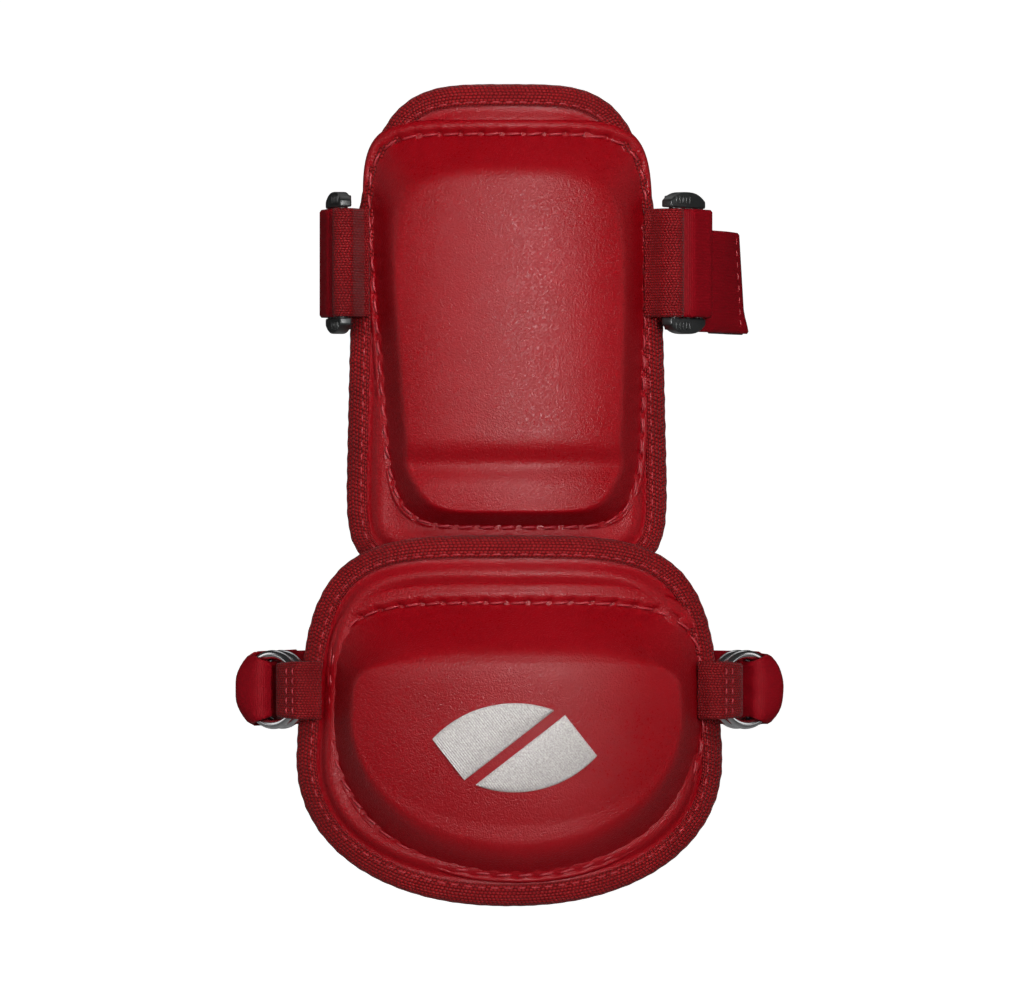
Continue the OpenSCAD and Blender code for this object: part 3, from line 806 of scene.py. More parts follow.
def pad_piece(panel, body):
    """Foam and lining as one stuffed pad, with sewn channels pressed into its lining side."""
    outline = egg(**panel.outline, inset=1.6)
    disc = Disc(outline, panel.outline["mid"], PAD_CORNERS[panel.name], 16)
    plan = disc.mid + (disc.along(disc.loop) - disc.mid) * disc.level[..., None]
    x, z = plan[..., 0], plan[..., 1]
    swell = 1.3
    pad = closed_disc(panel.name + "_pad", disc, panel.offset(x, z, -1.9),
                      panel.offset(x, z, -panel.pad_t + swell), LINING)
    simulate_pad(pad, 3.6, 3.0, 2.2)
    subdivide(pad, 1)
    count = len(pad.data.vertices)
    co = np.empty(count * 3, np.float32)
    pad.data.vertices.foreach_get("co", co)
    co = co.reshape(-1, 3) / MM
    depth = panel.r - np.hypot(co[:, 0], co[:, 1] - panel.yc)
    behind = smooth_step(depth, panel.pad_t * 0.55, panel.pad_t * 0.9)
    seam = np.zeros(count)
    for at in panel.channels:
        seam = np.maximum(seam, np.exp(-((co[:, 0] - at) / 1.5) ** 2))
    low, high = panel.channel_z
    fade = smooth_step(co[:, 2], low, low + 4) * (1 - smooth_step(co[:, 2], high - 4, high))
    press = (1.6 * seam * fade * behind)[:, None]
    away = np.stack([co[:, 0], co[:, 1] - panel.yc, np.zeros(count)], -1)
    away /= np.linalg.norm(away, axis=1)[:, None]
    co = co + away * press
    # The pad stays behind the leather and inside the lining's own place.
    radius = np.hypot(co[:, 0], co[:, 1] - panel.yc)
    limit = np.clip(radius, panel.r - panel.pad_t - 0.7, panel.r - 1.4) / radius
    co[:, 0] *= limit
    co[:, 1] = panel.yc + (co[:, 1] - panel.yc) * limit
    pad.data.vertices.foreach_set("co", (co * MM).astype(np.float32).ravel())
    pad.data.polygons.foreach_set("use_smooth", [True] * len(pad.data.polygons))
    pad.data.update()
    finish_piece(pad, body, "lining", panel.name + "_foam", panel.name + "_liner")
    return pad


ARM.channels, ARM.channel_z = (-15.0, 15.0), (112.0, 226.0)
ELBOW.channels, ELBOW.channel_z = (-22.0, 0.0, 22.0), (14.0, 96.0)


def binding_section(thickness):
    """The folded tape in section: across the edge, and out from the skin."""
    t = thickness
    outer = [(-BINDING_W, 0.15), (-BINDING_W + 0.25, 0.85), (-BINDING_W + 1.2, 1.05), (-3.4, 1.2),
             (-1.6, 1.0), (-0.5, 0.25), (-0.02, -1.2), (0.0, -t / 2), (-0.02, 1.2 - t),
             (-0.5, -t - 0.25), (-1.6, -t - 1.0), (-3.4, -t - 1.1), (-BINDING_W + 1.2, -t - 1.0),
             (-BINDING_W + 0.25, -t - 0.8), (-BINDING_W, -t - 0.15)]
    inner = [(-BINDING_W + 0.8, -t), (-1.7, -t + 0.05), (-1.1, 1.4 - t), (-1.05, -t / 2), (-1.1, -1.4),
             (-1.7, -0.05), (-BINDING_W + 0.8, 0.0)]
    return np.array(outer + inner), len(outer)


def binding_piece(panel, body):
    loop = resample_loop(egg(**panel.outline), 420)
    normals = outward_normals(loop)
    length = loop_length(loop)
    section, outer = binding_section(panel.pad_t)
    sides = len(section)
    around = run_length(section)
    close = around[-1] + np.linalg.norm(section[0] - section[-1])
    points, faces, uv = [], [], []
    count = len(loop)
    for i, (p, n) in enumerate(zip(loop, normals)):
        gather = 0.10 * math.sin(2 * math.pi * length[i] / 4.1) + 0.06 * math.sin(length[i] * 0.83 + 1.0)
        for j, (across, out) in enumerate(section):
            wave = gather if j < outer else 0.0
            plan = p + n * (across if across < -0.6 else across + 0.4 * wave)
            points.append(panel.offset(plan[0], plan[1], out + wave * (1 if out > -2 else -1)))
        k = (i + 1) % count
        for j in range(sides):
            m = (j + 1) % sides
            faces.append((i * sides + j, k * sides + j, k * sides + m, i * sides + m))
            low, high = length[i], length[i + 1]
            v0, v1 = around[j], (around[j + 1] if m else close)
            uv += [(low, v0), (high, v0), (high, v1), (low, v1)]
    piece = make_object(panel.name + "_edge_binding", points, faces, BINDING, uv)
    tidy_normals(piece)
    subdivide(piece, 1)
    finish_piece(piece, body, "webbing", panel.name + "_binding")
    binding_stitches(panel, body, loop, normals)


def binding_stitches(panel, body, loop, normals):
    pairs = []
    seam = loop - normals * (BINDING_W - 1.3)
    total = loop_length(seam)
    closed = np.vstack([seam, seam[:1]])
    marks = round(total[-1] / BINDING_STITCH_PITCH)
    for k in range(marks):
        ends = []
        for share in (k + 0.12, k + 0.80):
            x, z = look_up(share / marks * total[-1], total, closed)
            ends.append(panel.offset(x, z, 1.0))
        normal = (ends[0] + ends[1]) / 2 - np.array([0, panel.yc, (ends[0] + ends[1])[2] / 2])
        pairs.append((ends[0], ends[1], normal))
    row = stitch_row(panel.name + "_binding_stitches", pairs, 0.22, 0.10)
    finish_piece(row, body, "thread")


# ---------------------------------------------------------------- ribbons

def arc(centre, radius, start, end, count):
    a = np.radians(np.linspace(start, end, count))
    return np.stack([centre[0] + radius * np.cos(a), centre[1] + radius * np.sin(a)], -1)


def bezier(a, b, c, d, count):
    t = np.linspace(0, 1, count)[:, None]
    s = 1 - t
    a, b, c, d = (np.asarray(p, float) for p in (a, b, c, d))
    return a * s ** 3 + 3 * b * s ** 2 * t + 3 * c * s * t ** 2 + d * t ** 3


def resample_path(path, spacing):
    """Evenly spaced points along an open path, with its corners eased."""
    path = np.asarray(path, float)
    passes = 2
    for k in range(passes + 1):
        length = run_length(path)
        count = max(4, int(round(length[-1] / spacing)) + 1)
        path = look_up(np.linspace(0, length[-1], count), length, path)
        if k < passes:
            path[1:-1] = 0.25 * path[:-2] + 0.5 * path[1:-1] + 0.25 * path[2:]
    return path


def path_normals(path):
    t = np.gradient(path, axis=0)
    n = np.stack([-t[:, 1], t[:, 0]], -1)
    return n / np.linalg.norm(n, axis=1)[:, None]


def ribbon(name, path, z_mid, width, thickness, material, spacing=0.9, waist=None, ruffle=0.0, curl=None):
    """A strap that follows a path in plan and stands up along Z, with rounded selvedges.

    waist scales the width as a function of the share of the path's length, and ruffle waves it where narrow.
    curl gives a shift along X and one towards the path's right, for a share and a place across.
    """
    path = resample_path(path, spacing)
    normals = path_normals(path)
    length = run_length(path)
    half = thickness / 2
    flat = 1 - min(0.45 * thickness, 0.7) * 2 / width
    rows = np.linspace(-1, 1, 14)
    profile = [(-1.0, 0.35 * half)] + [(r * flat, half) for r in rows] + [(1.0, 0.35 * half)]
    profile += [(1.0, -0.35 * half)] + [(r * flat, -half) for r in rows[::-1]] + [(-1.0, -0.35 * half)]
    sides = len(profile)
    points, faces, uv = [], [], []
    turn = np.concatenate([[0], np.cumsum([math.hypot((b[0] - a[0]) * width / 2, b[1] - a[1])
                                           for a, b in zip(profile, profile[1:] + profile[:1])])])
    for i, (p, n) in enumerate(zip(path, normals)):
        share = length[i] / length[-1]
        scale = waist(share) if waist else 1.0
        for r, t in profile:
            wave = ruffle * math.sin(r * 9.0 + share * 5.0) * (1.0 - scale) * 8
            q = p + n * (t + wave)
            if curl:
                shift, aside = curl(share, r)
                q = q - n * aside + np.array([shift, 0.0])
            points.append((q[0], q[1], z_mid + r * width * scale / 2))
        if i + 1 < len(path):
            for j in range(sides):
                m = (j + 1) % sides
                faces.append((i * sides + j, (i + 1) * sides + j, (i + 1) * sides + m, i * sides + m))
                low, high = length[i], length[i + 1]
                uv += [(low, turn[j]), (high, turn[j]), (high, turn[j + 1]), (low, turn[j + 1])]
    for first in (0, (len(path) - 1) * sides):
        top = [first + j for j in range(sides // 2)]
        low = [first + sides - 1 - j for j in range(sides // 2)]
        for j in range(sides // 2 - 1):
            faces.append((top[j], top[j + 1], low[j + 1], low[j]))
            uv += [(0.0, float(j)), (0.0, j + 1.0), (0.5, j + 1.0), (0.5, float(j))]
    piece = make_object(name, points, faces, material, uv)
    return tidy_normals(piece)


# ---------------------------------------------------------------- upper strap and buckles

def plan(side, u, n):
    """A point beside a buckle: u outwards and back along its plate, n away from the arm."""
    c, s = math.cos(BUCKLE_TURN[side]), math.sin(BUCKLE_TURN[side])
    at = BUCKLE_AT[side]
    return np.array([at[0] + side * (u * c + n * s), at[1] + u * s - n * c])


def plan_path(side, points):
    return np.array([plan(side, u, n) for u, n in points])


def upper_strap():
    for side, side_name in SIDES:
        lead = plan(side, 15, -FOLD_N - 0.6)
        start = plan(side, 9.8, -FOLD_N - 0.1)
        hip = np.array([LOOP_AT[0] + side * LOOP_R, LOOP_AT[1]])
        leg = bezier(start, lead, hip + [0, -14], hip, 24)
        wrap = [(11.3, 0.2), (11.35, 1.2), (10.6, 2.3), (9.2, FOLD_N + 0.12), (5, FOLD_N)]
        turn = arc((0, 0), FOLD_N, -262, -90, 16)
        run = np.vstack([plan_path(side, wrap), plan_path(side, turn), plan_path(side, [(5, -FOLD_N)]), leg])
        piece = ribbon(f"upper_strap_{side_name}_run", run, UPPER_MID_Z, UPPER_W, STRAP_T, SATIN)
        finish_blend(piece, "strap", (f"{side_name}_buckle", "arm_panel"),
                     (*plan(side, 9.0, -FOLD_N), UPPER_MID_Z), (*(hip + [0, -6]), UPPER_MID_Z),
                     f"{side_name}_strap_fold")
    back = arc(LOOP_AT, LOOP_R, 0, 180, 90)
    piece = ribbon("upper_strap_back", back, UPPER_MID_Z, UPPER_W, STRAP_T, SATIN, spacing=1.6)
    finish_piece(piece, "arm_panel", "strap", "upper_strap")
    tape = arc(LOOP_AT, LOOP_R + (STRAP_T + LOOP_PILE_T) / 2 + TAPE_GAP, 4, 82, 60)
    piece = ribbon("upper_loop_pile", tape, UPPER_MID_Z, UPPER_W - 4, LOOP_PILE_T, LOOP_PILE)
    finish_piece(piece, "arm_panel", "loop_pile", "upper_loop_tape")


def upper_free_end():
    """The end comes out from behind the front fold, hangs lower, and leans out at its lower corner."""
    low_z, low_w = UPPER_MID_Z - 5.0, UPPER_W - 1.6
    root = plan(1, 12.5, -0.7)
    curve = bezier(root, root + [3.2, 5.1], (66.3, -18), (69.6, -6), 30)

    def curl(share, r):
        return (0.9 * -r * smooth_step(share, 0.5, 1.0),
                1.1 * smooth_step(-r, 0.5, 1.0) * smooth_step(share, 0.8, 1.0))

    tail = np.vstack([plan_path(1, [(8.9, -0.8), (11.0, -0.9)]), curve])
    piece = ribbon("upper_strap_free_end", tail, low_z, low_w, STRAP_T, SATIN, curl=curl)
    finish_blend(piece, "strap", ("right_buckle", "upper_tail"), (*plan(1, 10.5, 1.0), UPPER_MID_Z),
                 (*plan(1, 15.0, 2.0), UPPER_MID_Z), "upper_strap_tail")
    inner = curve[7:]
    hook = inner + path_normals(inner) * ((STRAP_T + HOOK_PILE_T) / 2 + TAPE_GAP)
    piece = ribbon("upper_hook_pile", hook, low_z - 0.5, low_w - 0.4, HOOK_PILE_T, HOOK_PILE, curl=curl)
    finish_piece(piece, "upper_tail", "hook_pile", "upper_hook_tape")

    out = -path_normals(curve)[-5]
    hem = curve[-5] + out * (STRAP_T / 2 + 0.05)

    def on_hem(z):
        return (*(hem + [-0.9 * 2 * (z - low_z) / low_w * 0.9, 0.0]), z)

    starts = [low_z - low_w / 2 + 2.0 + k * 3.5 for k in range(8)]
    pairs = [(on_hem(z), on_hem(z + 2.2), (*out, 0.0)) for z in starts]
    finish_piece(stitch_row("upper_tail_hem_stitches", pairs, 0.22, 0.15), "upper_tail", "thread")


def rounded_box(low, high, bevel):
    bm = bmesh.new()
    bmesh.ops.create_cube(bm, size=1.0)
    low, high = np.array(low, float), np.array(high, float)
    for v in bm.verts:
        v.co = Vector([low[i] + (v.co[i] + 0.5) * (high[i] - low[i]) for i in range(3)])
    bmesh.ops.bevel(bm, geom=bm.edges[:], offset=bevel, segments=2, profile=0.5, affect="EDGES")
    return bm


def bar_mesh(u, z0, z1, diameter, flutes=0):
    """A round bar along z, with shallow flutes where the strap is gripped."""
    sides = 28
    bm = bmesh.new()
    rings = []
    for z in np.linspace(z0, z1, 24):
        ring = []
        for j in range(sides):
            a = 2 * math.pi * j / sides
            r = diameter / 2 * (1 + (0.07 * math.cos(flutes * a) if flutes else 0.0))
            ring.append(bm.verts.new((u + r * math.cos(a), r * math.sin(a), z)))
        rings.append(ring)
    for low, high in zip(rings, rings[1:]):
        for j in range(sides):
            k = (j + 1) % sides
            bm.faces.new((low[j], low[k], high[k], high[j]))
    bm.faces.new(rings[0][::-1])
    bm.faces.new(rings[-1])
    return bm


def bmesh_object(name, parts, matrix, material):
    mesh = bpy.data.meshes.new(name)
    joined = bmesh.new()
    for part in parts:
        part.transform(matrix)
        scratch = bpy.data.meshes.new("scratch")
        part.to_mesh(scratch)
        part.free()
        joined.from_mesh(scratch)
        bpy.data.meshes.remove(scratch)
    bmesh.ops.recalc_face_normals(joined, faces=joined.faces)
    joined.to_mesh(mesh)
    joined.free()
    mesh.materials.append(material)
    mesh.polygons.foreach_set("use_smooth", [True] * len(mesh.polygons))
    return place_object(name, mesh)


def rail_mesh(u0, u1, z_flat, z_far, thickness):
    """One rail of a buckle: flat towards the strap, bowed on its far side."""
    steps = 14
    rim = [(u1, z_flat), (u0, z_flat)]
    for k in range(steps + 1):
        t = k / steps
        bow = 1 - abs(2 * t - 1) ** 2.6
        rim.append((u0 + (u1 - u0) * t, z_flat + (z_far - z_flat) * (0.45 + 0.55 * bow)))
    bm = bmesh.new()
    near = [bm.verts.new((u, -thickness / 2, z)) for u, z in rim]
    far = [bm.verts.new((u, thickness / 2, z)) for u, z in rim]
    bm.faces.new(near)
    bm.faces.new(far[::-1])
    for k in range(len(rim)):
        m = (k + 1) % len(rim)
        bm.faces.new((near[m], near[k], far[k], far[m]))
    bmesh.ops.recalc_face_normals(bm, faces=bm.faces)
    sharp = [e for e in bm.edges if e.calc_face_angle(0.0) > 0.5]
    bmesh.ops.bevel(bm, geom=sharp, offset=0.55, segments=3, profile=0.6, affect="EDGES")
    return bm


def buckle(side, side_name):
    low, high = node_box(f"{side_name}_buckle")
    height = high[2] - low[2]
    rail, inner, outer, t = 4.7, 11.0, 8.6, 3.6
    parts = [rail_mesh(-inner, outer, rail, 0.0, t), rail_mesh(-inner, outer, height - rail, height, t)]
    for u, flutes in ((-BAR_U, 0), (0.0, 7), (BAR_U, 7)):
        parts.append(bar_mesh(u, 1.8, height - 1.8, BAR_D, flutes=flutes))
    # Grip ridges fan across both faces of each rail near its ends.
    for z in (1.2, height - 3.6):
        for k in range(5):
            u = -inner + 2.2 + k * 1.9
            parts.append(rounded_box((u, -t / 2 - 0.4, z), (u + 0.9, t / 2 + 0.4, z + 2.4), 0.3))
    at = BUCKLE_AT[side]
    angle = BUCKLE_TURN[1] if side > 0 else math.pi - BUCKLE_TURN[-1]
    place = Matrix.Translation((at[0], at[1], low[2])) @ Matrix.Rotation(angle, 4, "Z")
    matrix = Matrix.Scale(MM, 4) @ place
    obj = bmesh_object(f"{side_name}_slide_buckle", parts, matrix, PLASTIC)
    return finish_piece(obj, f"{side_name}_buckle", "buckle_plastic", f"{side_name}_buckle")


def webbing_tab(side, side_name):
    """The sewn loop that holds a buckle. Both plies come out from under the cover's rim."""
    radius = BAR_D / 2 + BAR_GAP + WEBBING_T / 2
    root_x = 41.4 if side > 0 else -42.2

    def skin(x, d):
        return x, float(ARM.skin_y(x)) - d

    loop = plan_path(side, arc((-BAR_U, 0), radius, 178, -60, 30))
    over = [skin(root_x - side * 1.2, 1.7), skin(root_x + side * 0.6, 2.6), plan(side, -BAR_U - 3.1, -1.4)]
    under = [plan(side, -BAR_U + 0.2, -3.2), skin(root_x + side * 2.6, 1.5), skin(root_x + side * 0.4, 1.0)]
    path = np.vstack([over, loop, under])
    piece = ribbon(f"{side_name}_webbing_loop", path, UPPER_MID_Z, UPPER_W, WEBBING_T, WEBBING, spacing=0.6)
    return finish_piece(piece, "arm_panel", "webbing", f"{side_name}_webbing_tab")


# ---------------------------------------------------------------- lower strap and rings

def ring_world(side):
    """Turns points of the ring frame into the row frame. x is outwards and back, -y away from the arm."""
    c, s = math.cos(RING_TURN), math.sin(RING_TURN)

    def convert(points):
        p = np.asarray(points, float)
        x = RING_ORIGIN[0] - MID_X + p[..., 0] * c - p[..., 1] * s
        y = RING_ORIGIN[1] + p[..., 0] * s + p[..., 1] * c
        out = [MID_X + side * x, y]
        if p.shape[-1] == 3:
            out.append(p[..., 2])
        return np.stack(out, -1)
    return convert


def metal_ring(side, side_name, front):
    """A round wire ring with the small swelling of its weld."""
    major = RING_R - WIRE_D / 2
    lean = math.radians(2) if front else 0.0
    turns, sides = 120, 20
    points, faces = [], []
    convert = ring_world(side)
    for i in range(turns):
        a = 2 * math.pi * i / turns
        weld = 1 + 0.08 * math.exp(-((a - 3.9) / 0.06) ** 2)
        for j in range(sides):
            b = 2 * math.pi * j / sides
            r = major + WIRE_D / 2 * weld * math.cos(b)
            x, y, z = major + r * math.cos(a), WIRE_D / 2 * weld * math.sin(b), r * math.sin(a)
            x, y = x * math.cos(lean) + y * math.sin(lean), -x * math.sin(lean) + y * math.cos(lean)
            points.append((RING_U - major + x, y - RING_N * (1 if front else -1), LOWER_MID_Z + z))
        k = (i + 1) % turns
        for j in range(sides):
            m = (j + 1) % sides
            faces.append((i * sides + j, i * sides + m, k * sides + m, k * sides + j))
    node = f"{side_name}_ring_{'front' if front else 'back'}"
    piece = tidy_normals(make_object(node + "_wire", convert(points), faces, STEEL))
    return finish_piece(piece, f"{side_name}_rings", "steel", node)


def ring_tab(side, side_name):
    """The webbing loop that holds both rings, sewn down on the panel's edge."""
    convert = ring_world(side)
    mid = RING_N + WIRE_D / 2 + RING_TAB_SLACK + WEBBING_T / 2
    fold = arc((10.5 - mid - WEBBING_T / 2, 0), mid, -90, 82, 26)
    path = np.vstack([[(-3.6, 2.6), (-2.6, -0.6), (-0.6, -mid + 0.4)], fold, [(3.2, 4.6), (1.2, 4.9)]])
    piece = ribbon(f"{side_name}_ring_loop", convert(path), LOWER_MID_Z, RING_TAB_W, WEBBING_T, WEBBING,
                   spacing=0.6, waist=lambda share: 1.0 - 0.10 * math.exp(-((share - 0.62) / 0.25) ** 2))
    anchor = convert([(-3.4, 2.0), (0.6, -1.0)])
    finish_blend(piece, "webbing", ("elbow_panel", f"{side_name}_rings"), (*anchor[0], LOWER_MID_Z),
                 (*anchor[1], LOWER_MID_Z), f"{side_name}_ring_tab")
    pairs = []
    for u in (0.6, 3.2):
        for k in range(5):
            z = LOWER_MID_Z - 7.0 + k * 2.9
            a, b = convert([(u, -mid - 0.62, z), (u, -mid - 0.62, z + 1.9)])
            normal = convert([(u, -mid - 2.0, z)])[0] - convert([(u, -mid, z)])[0]
            pairs.append((a, b, normal))
    row = stitch_row(f"{side_name}_ring_loop_stitches", pairs, 0.26, 0.18)
    finish_blend(row, "thread", ("elbow_panel", f"{side_name}_rings"), (*anchor[0], LOWER_MID_Z),
                 (*anchor[1], LOWER_MID_Z))


def near(path, point, length):
    """A share of 1 where a path passes nearest to a point, falling off over a length either way."""
    path = resample_path(path, 0.8)
    run = run_length(path)
    at = run[int(np.argmin(np.linalg.norm(path - point, axis=1)))]
    return lambda share: math.exp(-((share * run[-1] - at) / length) ** 2)


def lower_strap():
    hips = {s: np.array([LOWER_LOOP_AT[0] + s * LOWER_LOOP_R, LOWER_LOOP_AT[1]]) for s in (1, -1)}
    u = RING_U
    for side, side_name in SIDES:
        convert = ring_world(side)
        start = convert([(u + 13.3, 8.5)])[0]
        leg = bezier(start, start + [-side * 2, 9], hips[side] + [0, -16], hips[side], 30)
        rise = bezier((u + 12.4, 8), (u + 9, 6.8), (u + 4.2, 6.4), (u + 3, 2.6), 12)
        turn = arc((u + 5.6, -2.3), 2.6, 180, 270, 10)
        over = bezier((u + 10.4, -5), (u + 13.2, -5), (u + 14, -3.2), (u + 14, 0.1), 12)
        run = np.vstack([leg[::-1], convert(rise), convert(turn), convert(over)])
        if side > 0:
            lap = np.vstack([convert([(u + 14.2, 2.6)]), start + [2.0, 1.5], leg[4:9] + [1.75, -0.4]])
            run = np.vstack([run, lap])
        hole = near(run, convert([(u + 3, 0.0)])[0], 7.5)
        bend = near(run, convert([(u + 13.6, -3.2)])[0], 7.5)
        waist = lambda share: 1 - 0.26 * hole(share) - 0.05 * bend(share)
        curl = lambda share, r: (-side * 4.4 * abs(r) ** 2.6 * bend(share), 0.0)
        piece = ribbon(f"lower_strap_{side_name}_run", run, LOWER_MID_Z, LOWER_W, STRAP_T, SATIN,
                       spacing=0.8, waist=waist, ruffle=0.12, curl=curl)
        finish_blend(piece, "strap", (f"{side_name}_rings", "elbow_panel"), (*start, LOWER_MID_Z),
                     (*(hips[side] + [0, -6]), LOWER_MID_Z), f"{side_name}_strap_turn")
    piece = ribbon("lower_strap_back", arc(LOWER_LOOP_AT, LOWER_LOOP_R, 0, 180, 90), LOWER_MID_Z, LOWER_W,
                   STRAP_T, SATIN, spacing=1.6)
    finish_piece(piece, "elbow_panel", "strap", "lower_strap")
    tape = arc(LOWER_LOOP_AT, LOWER_LOOP_R + (STRAP_T + LOOP_PILE_T) / 2 + TAPE_GAP, 104, 176, 50)
    piece = ribbon("lower_loop_pile", tape, LOWER_MID_Z, LOWER_W - 4, LOOP_PILE_T, LOOP_PILE)
    finish_piece(piece, "elbow_panel", "loop_pile", "lower_loop_tape")


def lower_free_end():
    """The end leaves the left rings behind the strap's turn and lies back along the loop."""
    u = RING_U
    convert = ring_world(-1)
    root = convert([(u + 14, 1.1)])[0]
    lead = convert([(u + 13.75, -2.2), (u + 14.1, -0.6)])
    curve = bezier(root, root + [-0.4, 5], (-70, -24), (-64, -4), 30)
    tail = np.vstack([lead, curve])
    first = near(tail, tail[0], 9.0)
    tuck = lambda share, r: (4.4 * abs(r) ** 2.6 * first(share), 0.0)
    piece = ribbon("lower_strap_free_end", tail, LOWER_MID_Z, LOWER_W - 0.1, STRAP_T + 0.1, SATIN,
                   curl=tuck)
    finish_blend(piece, "strap", ("left_rings", "lower_tail"), (*convert([(u + 13, -2)])[0], LOWER_MID_Z),
                 (*curve[7], LOWER_MID_Z), "lower_strap_tail")
    inner = curve[8:]
    hook = inner - path_normals(inner) * ((STRAP_T + HOOK_PILE_T) / 2 + TAPE_GAP)
    piece = ribbon("lower_hook_pile", hook, LOWER_MID_Z, LOWER_W - 2, HOOK_PILE_T, HOOK_PILE)
    finish_piece(piece, "lower_tail", "hook_pile", "lower_hook_tape")


# ---------------------------------------------------------------- hinge strip and emblem

def hinge_strip():
    """Cloth gusset between the two panels, bent across the elbow hinge."""
    low, high = node_box("hinge_strip")
    x = np.linspace(low[0], high[0], 44)
    z = np.linspace(low[2] - 9.0, high[2], 24)
    gx, gz = np.meshgrid(x, z, indexing="ij")
    depth = 1.35 + 0.9 * smooth_step(low[2] + 6 - gz, 0, 12)
    front = ARM.offset(gx, gz, depth + 0.6)
    back = ARM.offset(gx, gz, depth - 0.1)
    faces = grid_solid(*gx.shape)
    points = np.vstack([front.reshape(-1, 3), back.reshape(-1, 3)])
    flat = np.stack([gx, gz], -1).reshape(-1, 2)
    both = np.vstack([flat, flat])
    uv = [both[i] for face in faces for i in face]
    piece = tidy_normals(make_object("hinge_gusset", points, faces, WEBBING, uv))
    finish_blend(piece, "webbing", ("arm_panel", "elbow_panel"), (0, -60, 101), (0, -60, 91), "hinge_strip")


def emblem():
    """A pointed oval of satin stitch, split by a slanted gap."""
    low, high = node_box("elbow_emblem")
    cx, cz = (low[0] + high[0]) / 2, (low[2] + high[2]) / 2
    w, h = high[0] - low[0], high[2] - low[2]
    lens = (w * w / 4 + h * h / 4) / h
    angle = math.radians(38)
    slit = 1.5
    objects = []
    for half in (1, -1):
        rows = 150
        points = []
        sides = 26
        direction = np.array([math.cos(angle), math.sin(angle)])
        normal = np.array([-direction[1], direction[0]]) * half

        def inside(p):
            return (p[0] ** 2 + (p[1] - h / 2 + lens) ** 2 < lens ** 2
                    and p[0] ** 2 + (p[1] + h / 2 - lens) ** 2 < lens ** 2)

        def reach(origin):
            low_r, high_r = 0.0, w
            for _ in range(30):
                mid_r = (low_r + high_r) / 2
                low_r, high_r = (mid_r, high_r) if inside(origin + normal * mid_r) else (low_r, mid_r)
            return low_r

        starts = []
        for s in np.linspace(-w / 2, w / 2, 700):
            origin = direction * s + normal * slit
            if inside(origin) and reach(origin) > 0.25:
                starts.append(s)
        span = np.linspace(starts[0], starts[-1], rows)
        for i, s in enumerate(span):
            origin = direction * s + normal * slit
            far = max(reach(origin), 0.15)
            for j in range(sides + 1):
                r = j / sides
                p = origin + normal * far * r
                crown = 0.25 + 0.95 * (1 - abs(2 * r - 1) ** 3.2)
                ridge = 0.22 * math.cos(math.pi * i / 1.5) * (1 - abs(2 * r - 1) ** 6)
                points.append((cx + p[0], cz + p[1], crown + ridge))
        grid = np.array(points)
        face = raise_at(ELBOW, grid[:, 0], grid[:, 1])
        front, back = [], []
        for x, z, d in grid:
            y = float(ELBOW.skin_y(x)) - float(face[len(front)])
            front.append((x, y - d, z))
            back.append((x, y + 0.2, z))
        faces = grid_solid(rows, sides + 1)
        objects.append(tidy_normals(make_object("emblem_half", np.vstack([front, back]), faces, EMBLEM)))
    piece = join("embroidered_emblem", objects)
    return finish_piece(piece, "elbow_panel", "emblem", "elbow_emblem")


# ---------------------------------------------------------------- studio

def area_light(name, place, target, width, height, power, spread=180.0, glossy=True):
    data = bpy.data.lights.new(name, "AREA")
    data.shape = "RECTANGLE"
    data.size, data.size_y = width, height
    data.energy = power
    data.spread = math.radians(spread)
    light = place_object(name, data)
    light.location = place
    light.visible_glossy = glossy
    light.visible_camera = False
    light.rotation_euler = (Vector(target) - Vector(place)).to_track_quat("-Z", "Y").to_euler()
    return light


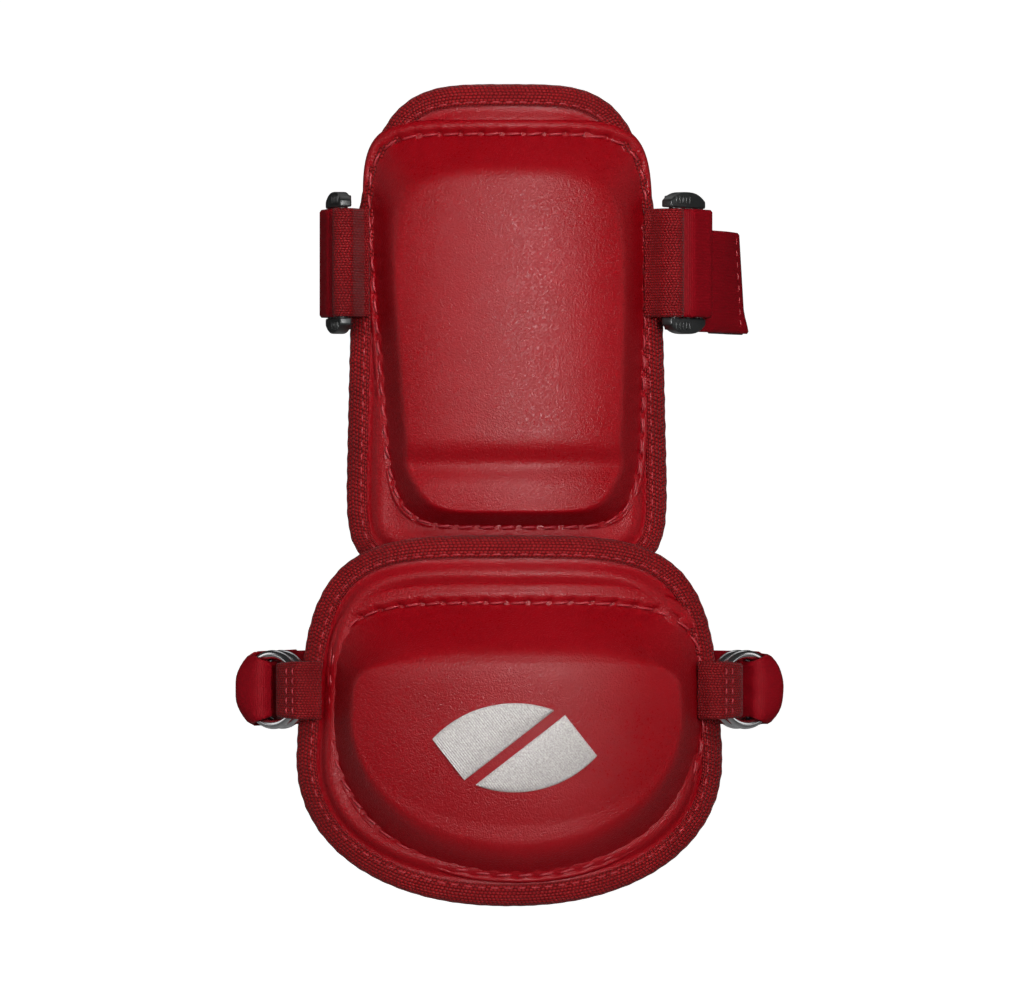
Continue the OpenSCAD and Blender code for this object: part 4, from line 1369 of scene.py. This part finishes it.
def studio():
    """Camera square to the front face, a pale sweep, and soft boxes, of which two leave no reflections."""
    scene = bpy.context.scene
    scene.view_settings.view_transform = "Standard"
    middle = Vector((0.0025, 0.0, 0.1213))
    view_width = 0.3035
    front_y = -0.062
    distance = 2.4
    camera_data = bpy.data.cameras.new("camera")
    camera_data.sensor_width = 36.0
    camera_data.lens = 36.0 * distance / view_width
    camera_data.clip_start, camera_data.clip_end = 0.05, 50.0
    camera = place_object("camera", camera_data)
    camera.location = (middle.x, front_y - distance, middle.z)
    camera.rotation_euler = (math.pi / 2, 0, 0)
    scene.camera = camera

    # The sweep and the world look white to the camera, and light the object only a little.
    world = bpy.data.worlds.new("studio")
    scene.world = world
    world.use_nodes = True
    tree = world.node_tree
    seen = tree.nodes.new("ShaderNodeLightPath").outputs["Is Camera Ray"]
    level = tree.nodes.new("ShaderNodeMapRange")
    tree.links.new(seen, level.inputs[0])
    level.inputs[3].default_value, level.inputs[4].default_value = 0.03, 1.0
    background = tree.nodes["Background"]
    background.inputs["Color"].default_value = (1, 1, 1, 1)
    tree.links.new(level.outputs[0], background.inputs["Strength"])

    pale, n = new_material("pale_sweep", (0.45, 0.45, 0.45), 0.95, Specular_IOR_Level=0.0)
    n.plug(n.shader.inputs["Emission Color"], rgb(1, 1, 1))
    n.plug(n.shader.inputs["Emission Strength"],
           n.ramp(n.make("ShaderNodeLightPath"), 0.0, 1.0, 0.0, 1.0))
    sweep = []
    half, floor_z, back_y, radius = 4.0, -0.16, 3.6, 1.0
    profile = [(-3.8, floor_z), (back_y - radius, floor_z)]
    for k in range(1, 13):
        a = math.radians(90 * k / 12)
        profile.append((back_y - radius + radius * math.sin(a), floor_z + radius * (1 - math.cos(a))))
    profile.append((back_y, 3.2))
    for y, z in profile:
        sweep += [(-half, y, z), (half, y, z)]
    faces = [(2 * i, 2 * i + 1, 2 * i + 3, 2 * i + 2) for i in range(len(profile) - 1)]
    backdrop = make_object("sweep", np.array(sweep) / MM, faces, pale)

    high, higher, middle_front = (0.0, -0.07, 0.19), (0.0, -0.07, 0.21), (0.0, -0.06, 0.12)
    area_light("right_strip", (0.42, -1.9, 0.32), high, 0.12, 0.7, 1.9, 40)
    area_light("left_strip", (-0.93, -1.65, 0.32), high, 0.14, 0.7, 0.6, 40)
    area_light("key", (0.16, -0.85, 0.78), higher, 0.5, 0.35, 0.40, 31, glossy=False)
    area_light("top_back", (0.0, 0.75, 1.2), middle_front, 1.2, 0.5, 1.6)
    area_light("back_fill", (-0.4, 2.1, 0.8), (0.0, 0.0, 0.12), 1.4, 0.9, 14.0, glossy=False)
    area_light("right_side", (1.5, 0.1, 0.3), middle_front, 0.5, 1.0, 1.8)
    area_light("left_side", (-1.5, 0.1, 0.3), middle_front, 0.5, 1.0, 1.8)


# ---------------------------------------------------------------- everything

studio()
for one, its_body in ((ARM, "arm_panel"), (ELBOW, "elbow_panel")):
    skin_piece(one, its_body)
    pad_piece(one, its_body)
    binding_piece(one, its_body)
    shell_disc = shell_pieces(one, its_body)
    shell_stitches(one, shell_disc, its_body)
emblem()
hinge_strip()
upper_strap()
upper_free_end()
lower_strap()
lower_free_end()
for which, which_name in SIDES:
    buckle(which, which_name)
    webbing_tab(which, which_name)
    ring_tab(which, which_name)
    metal_ring(which, which_name, True)
    metal_ring(which, which_name, False)
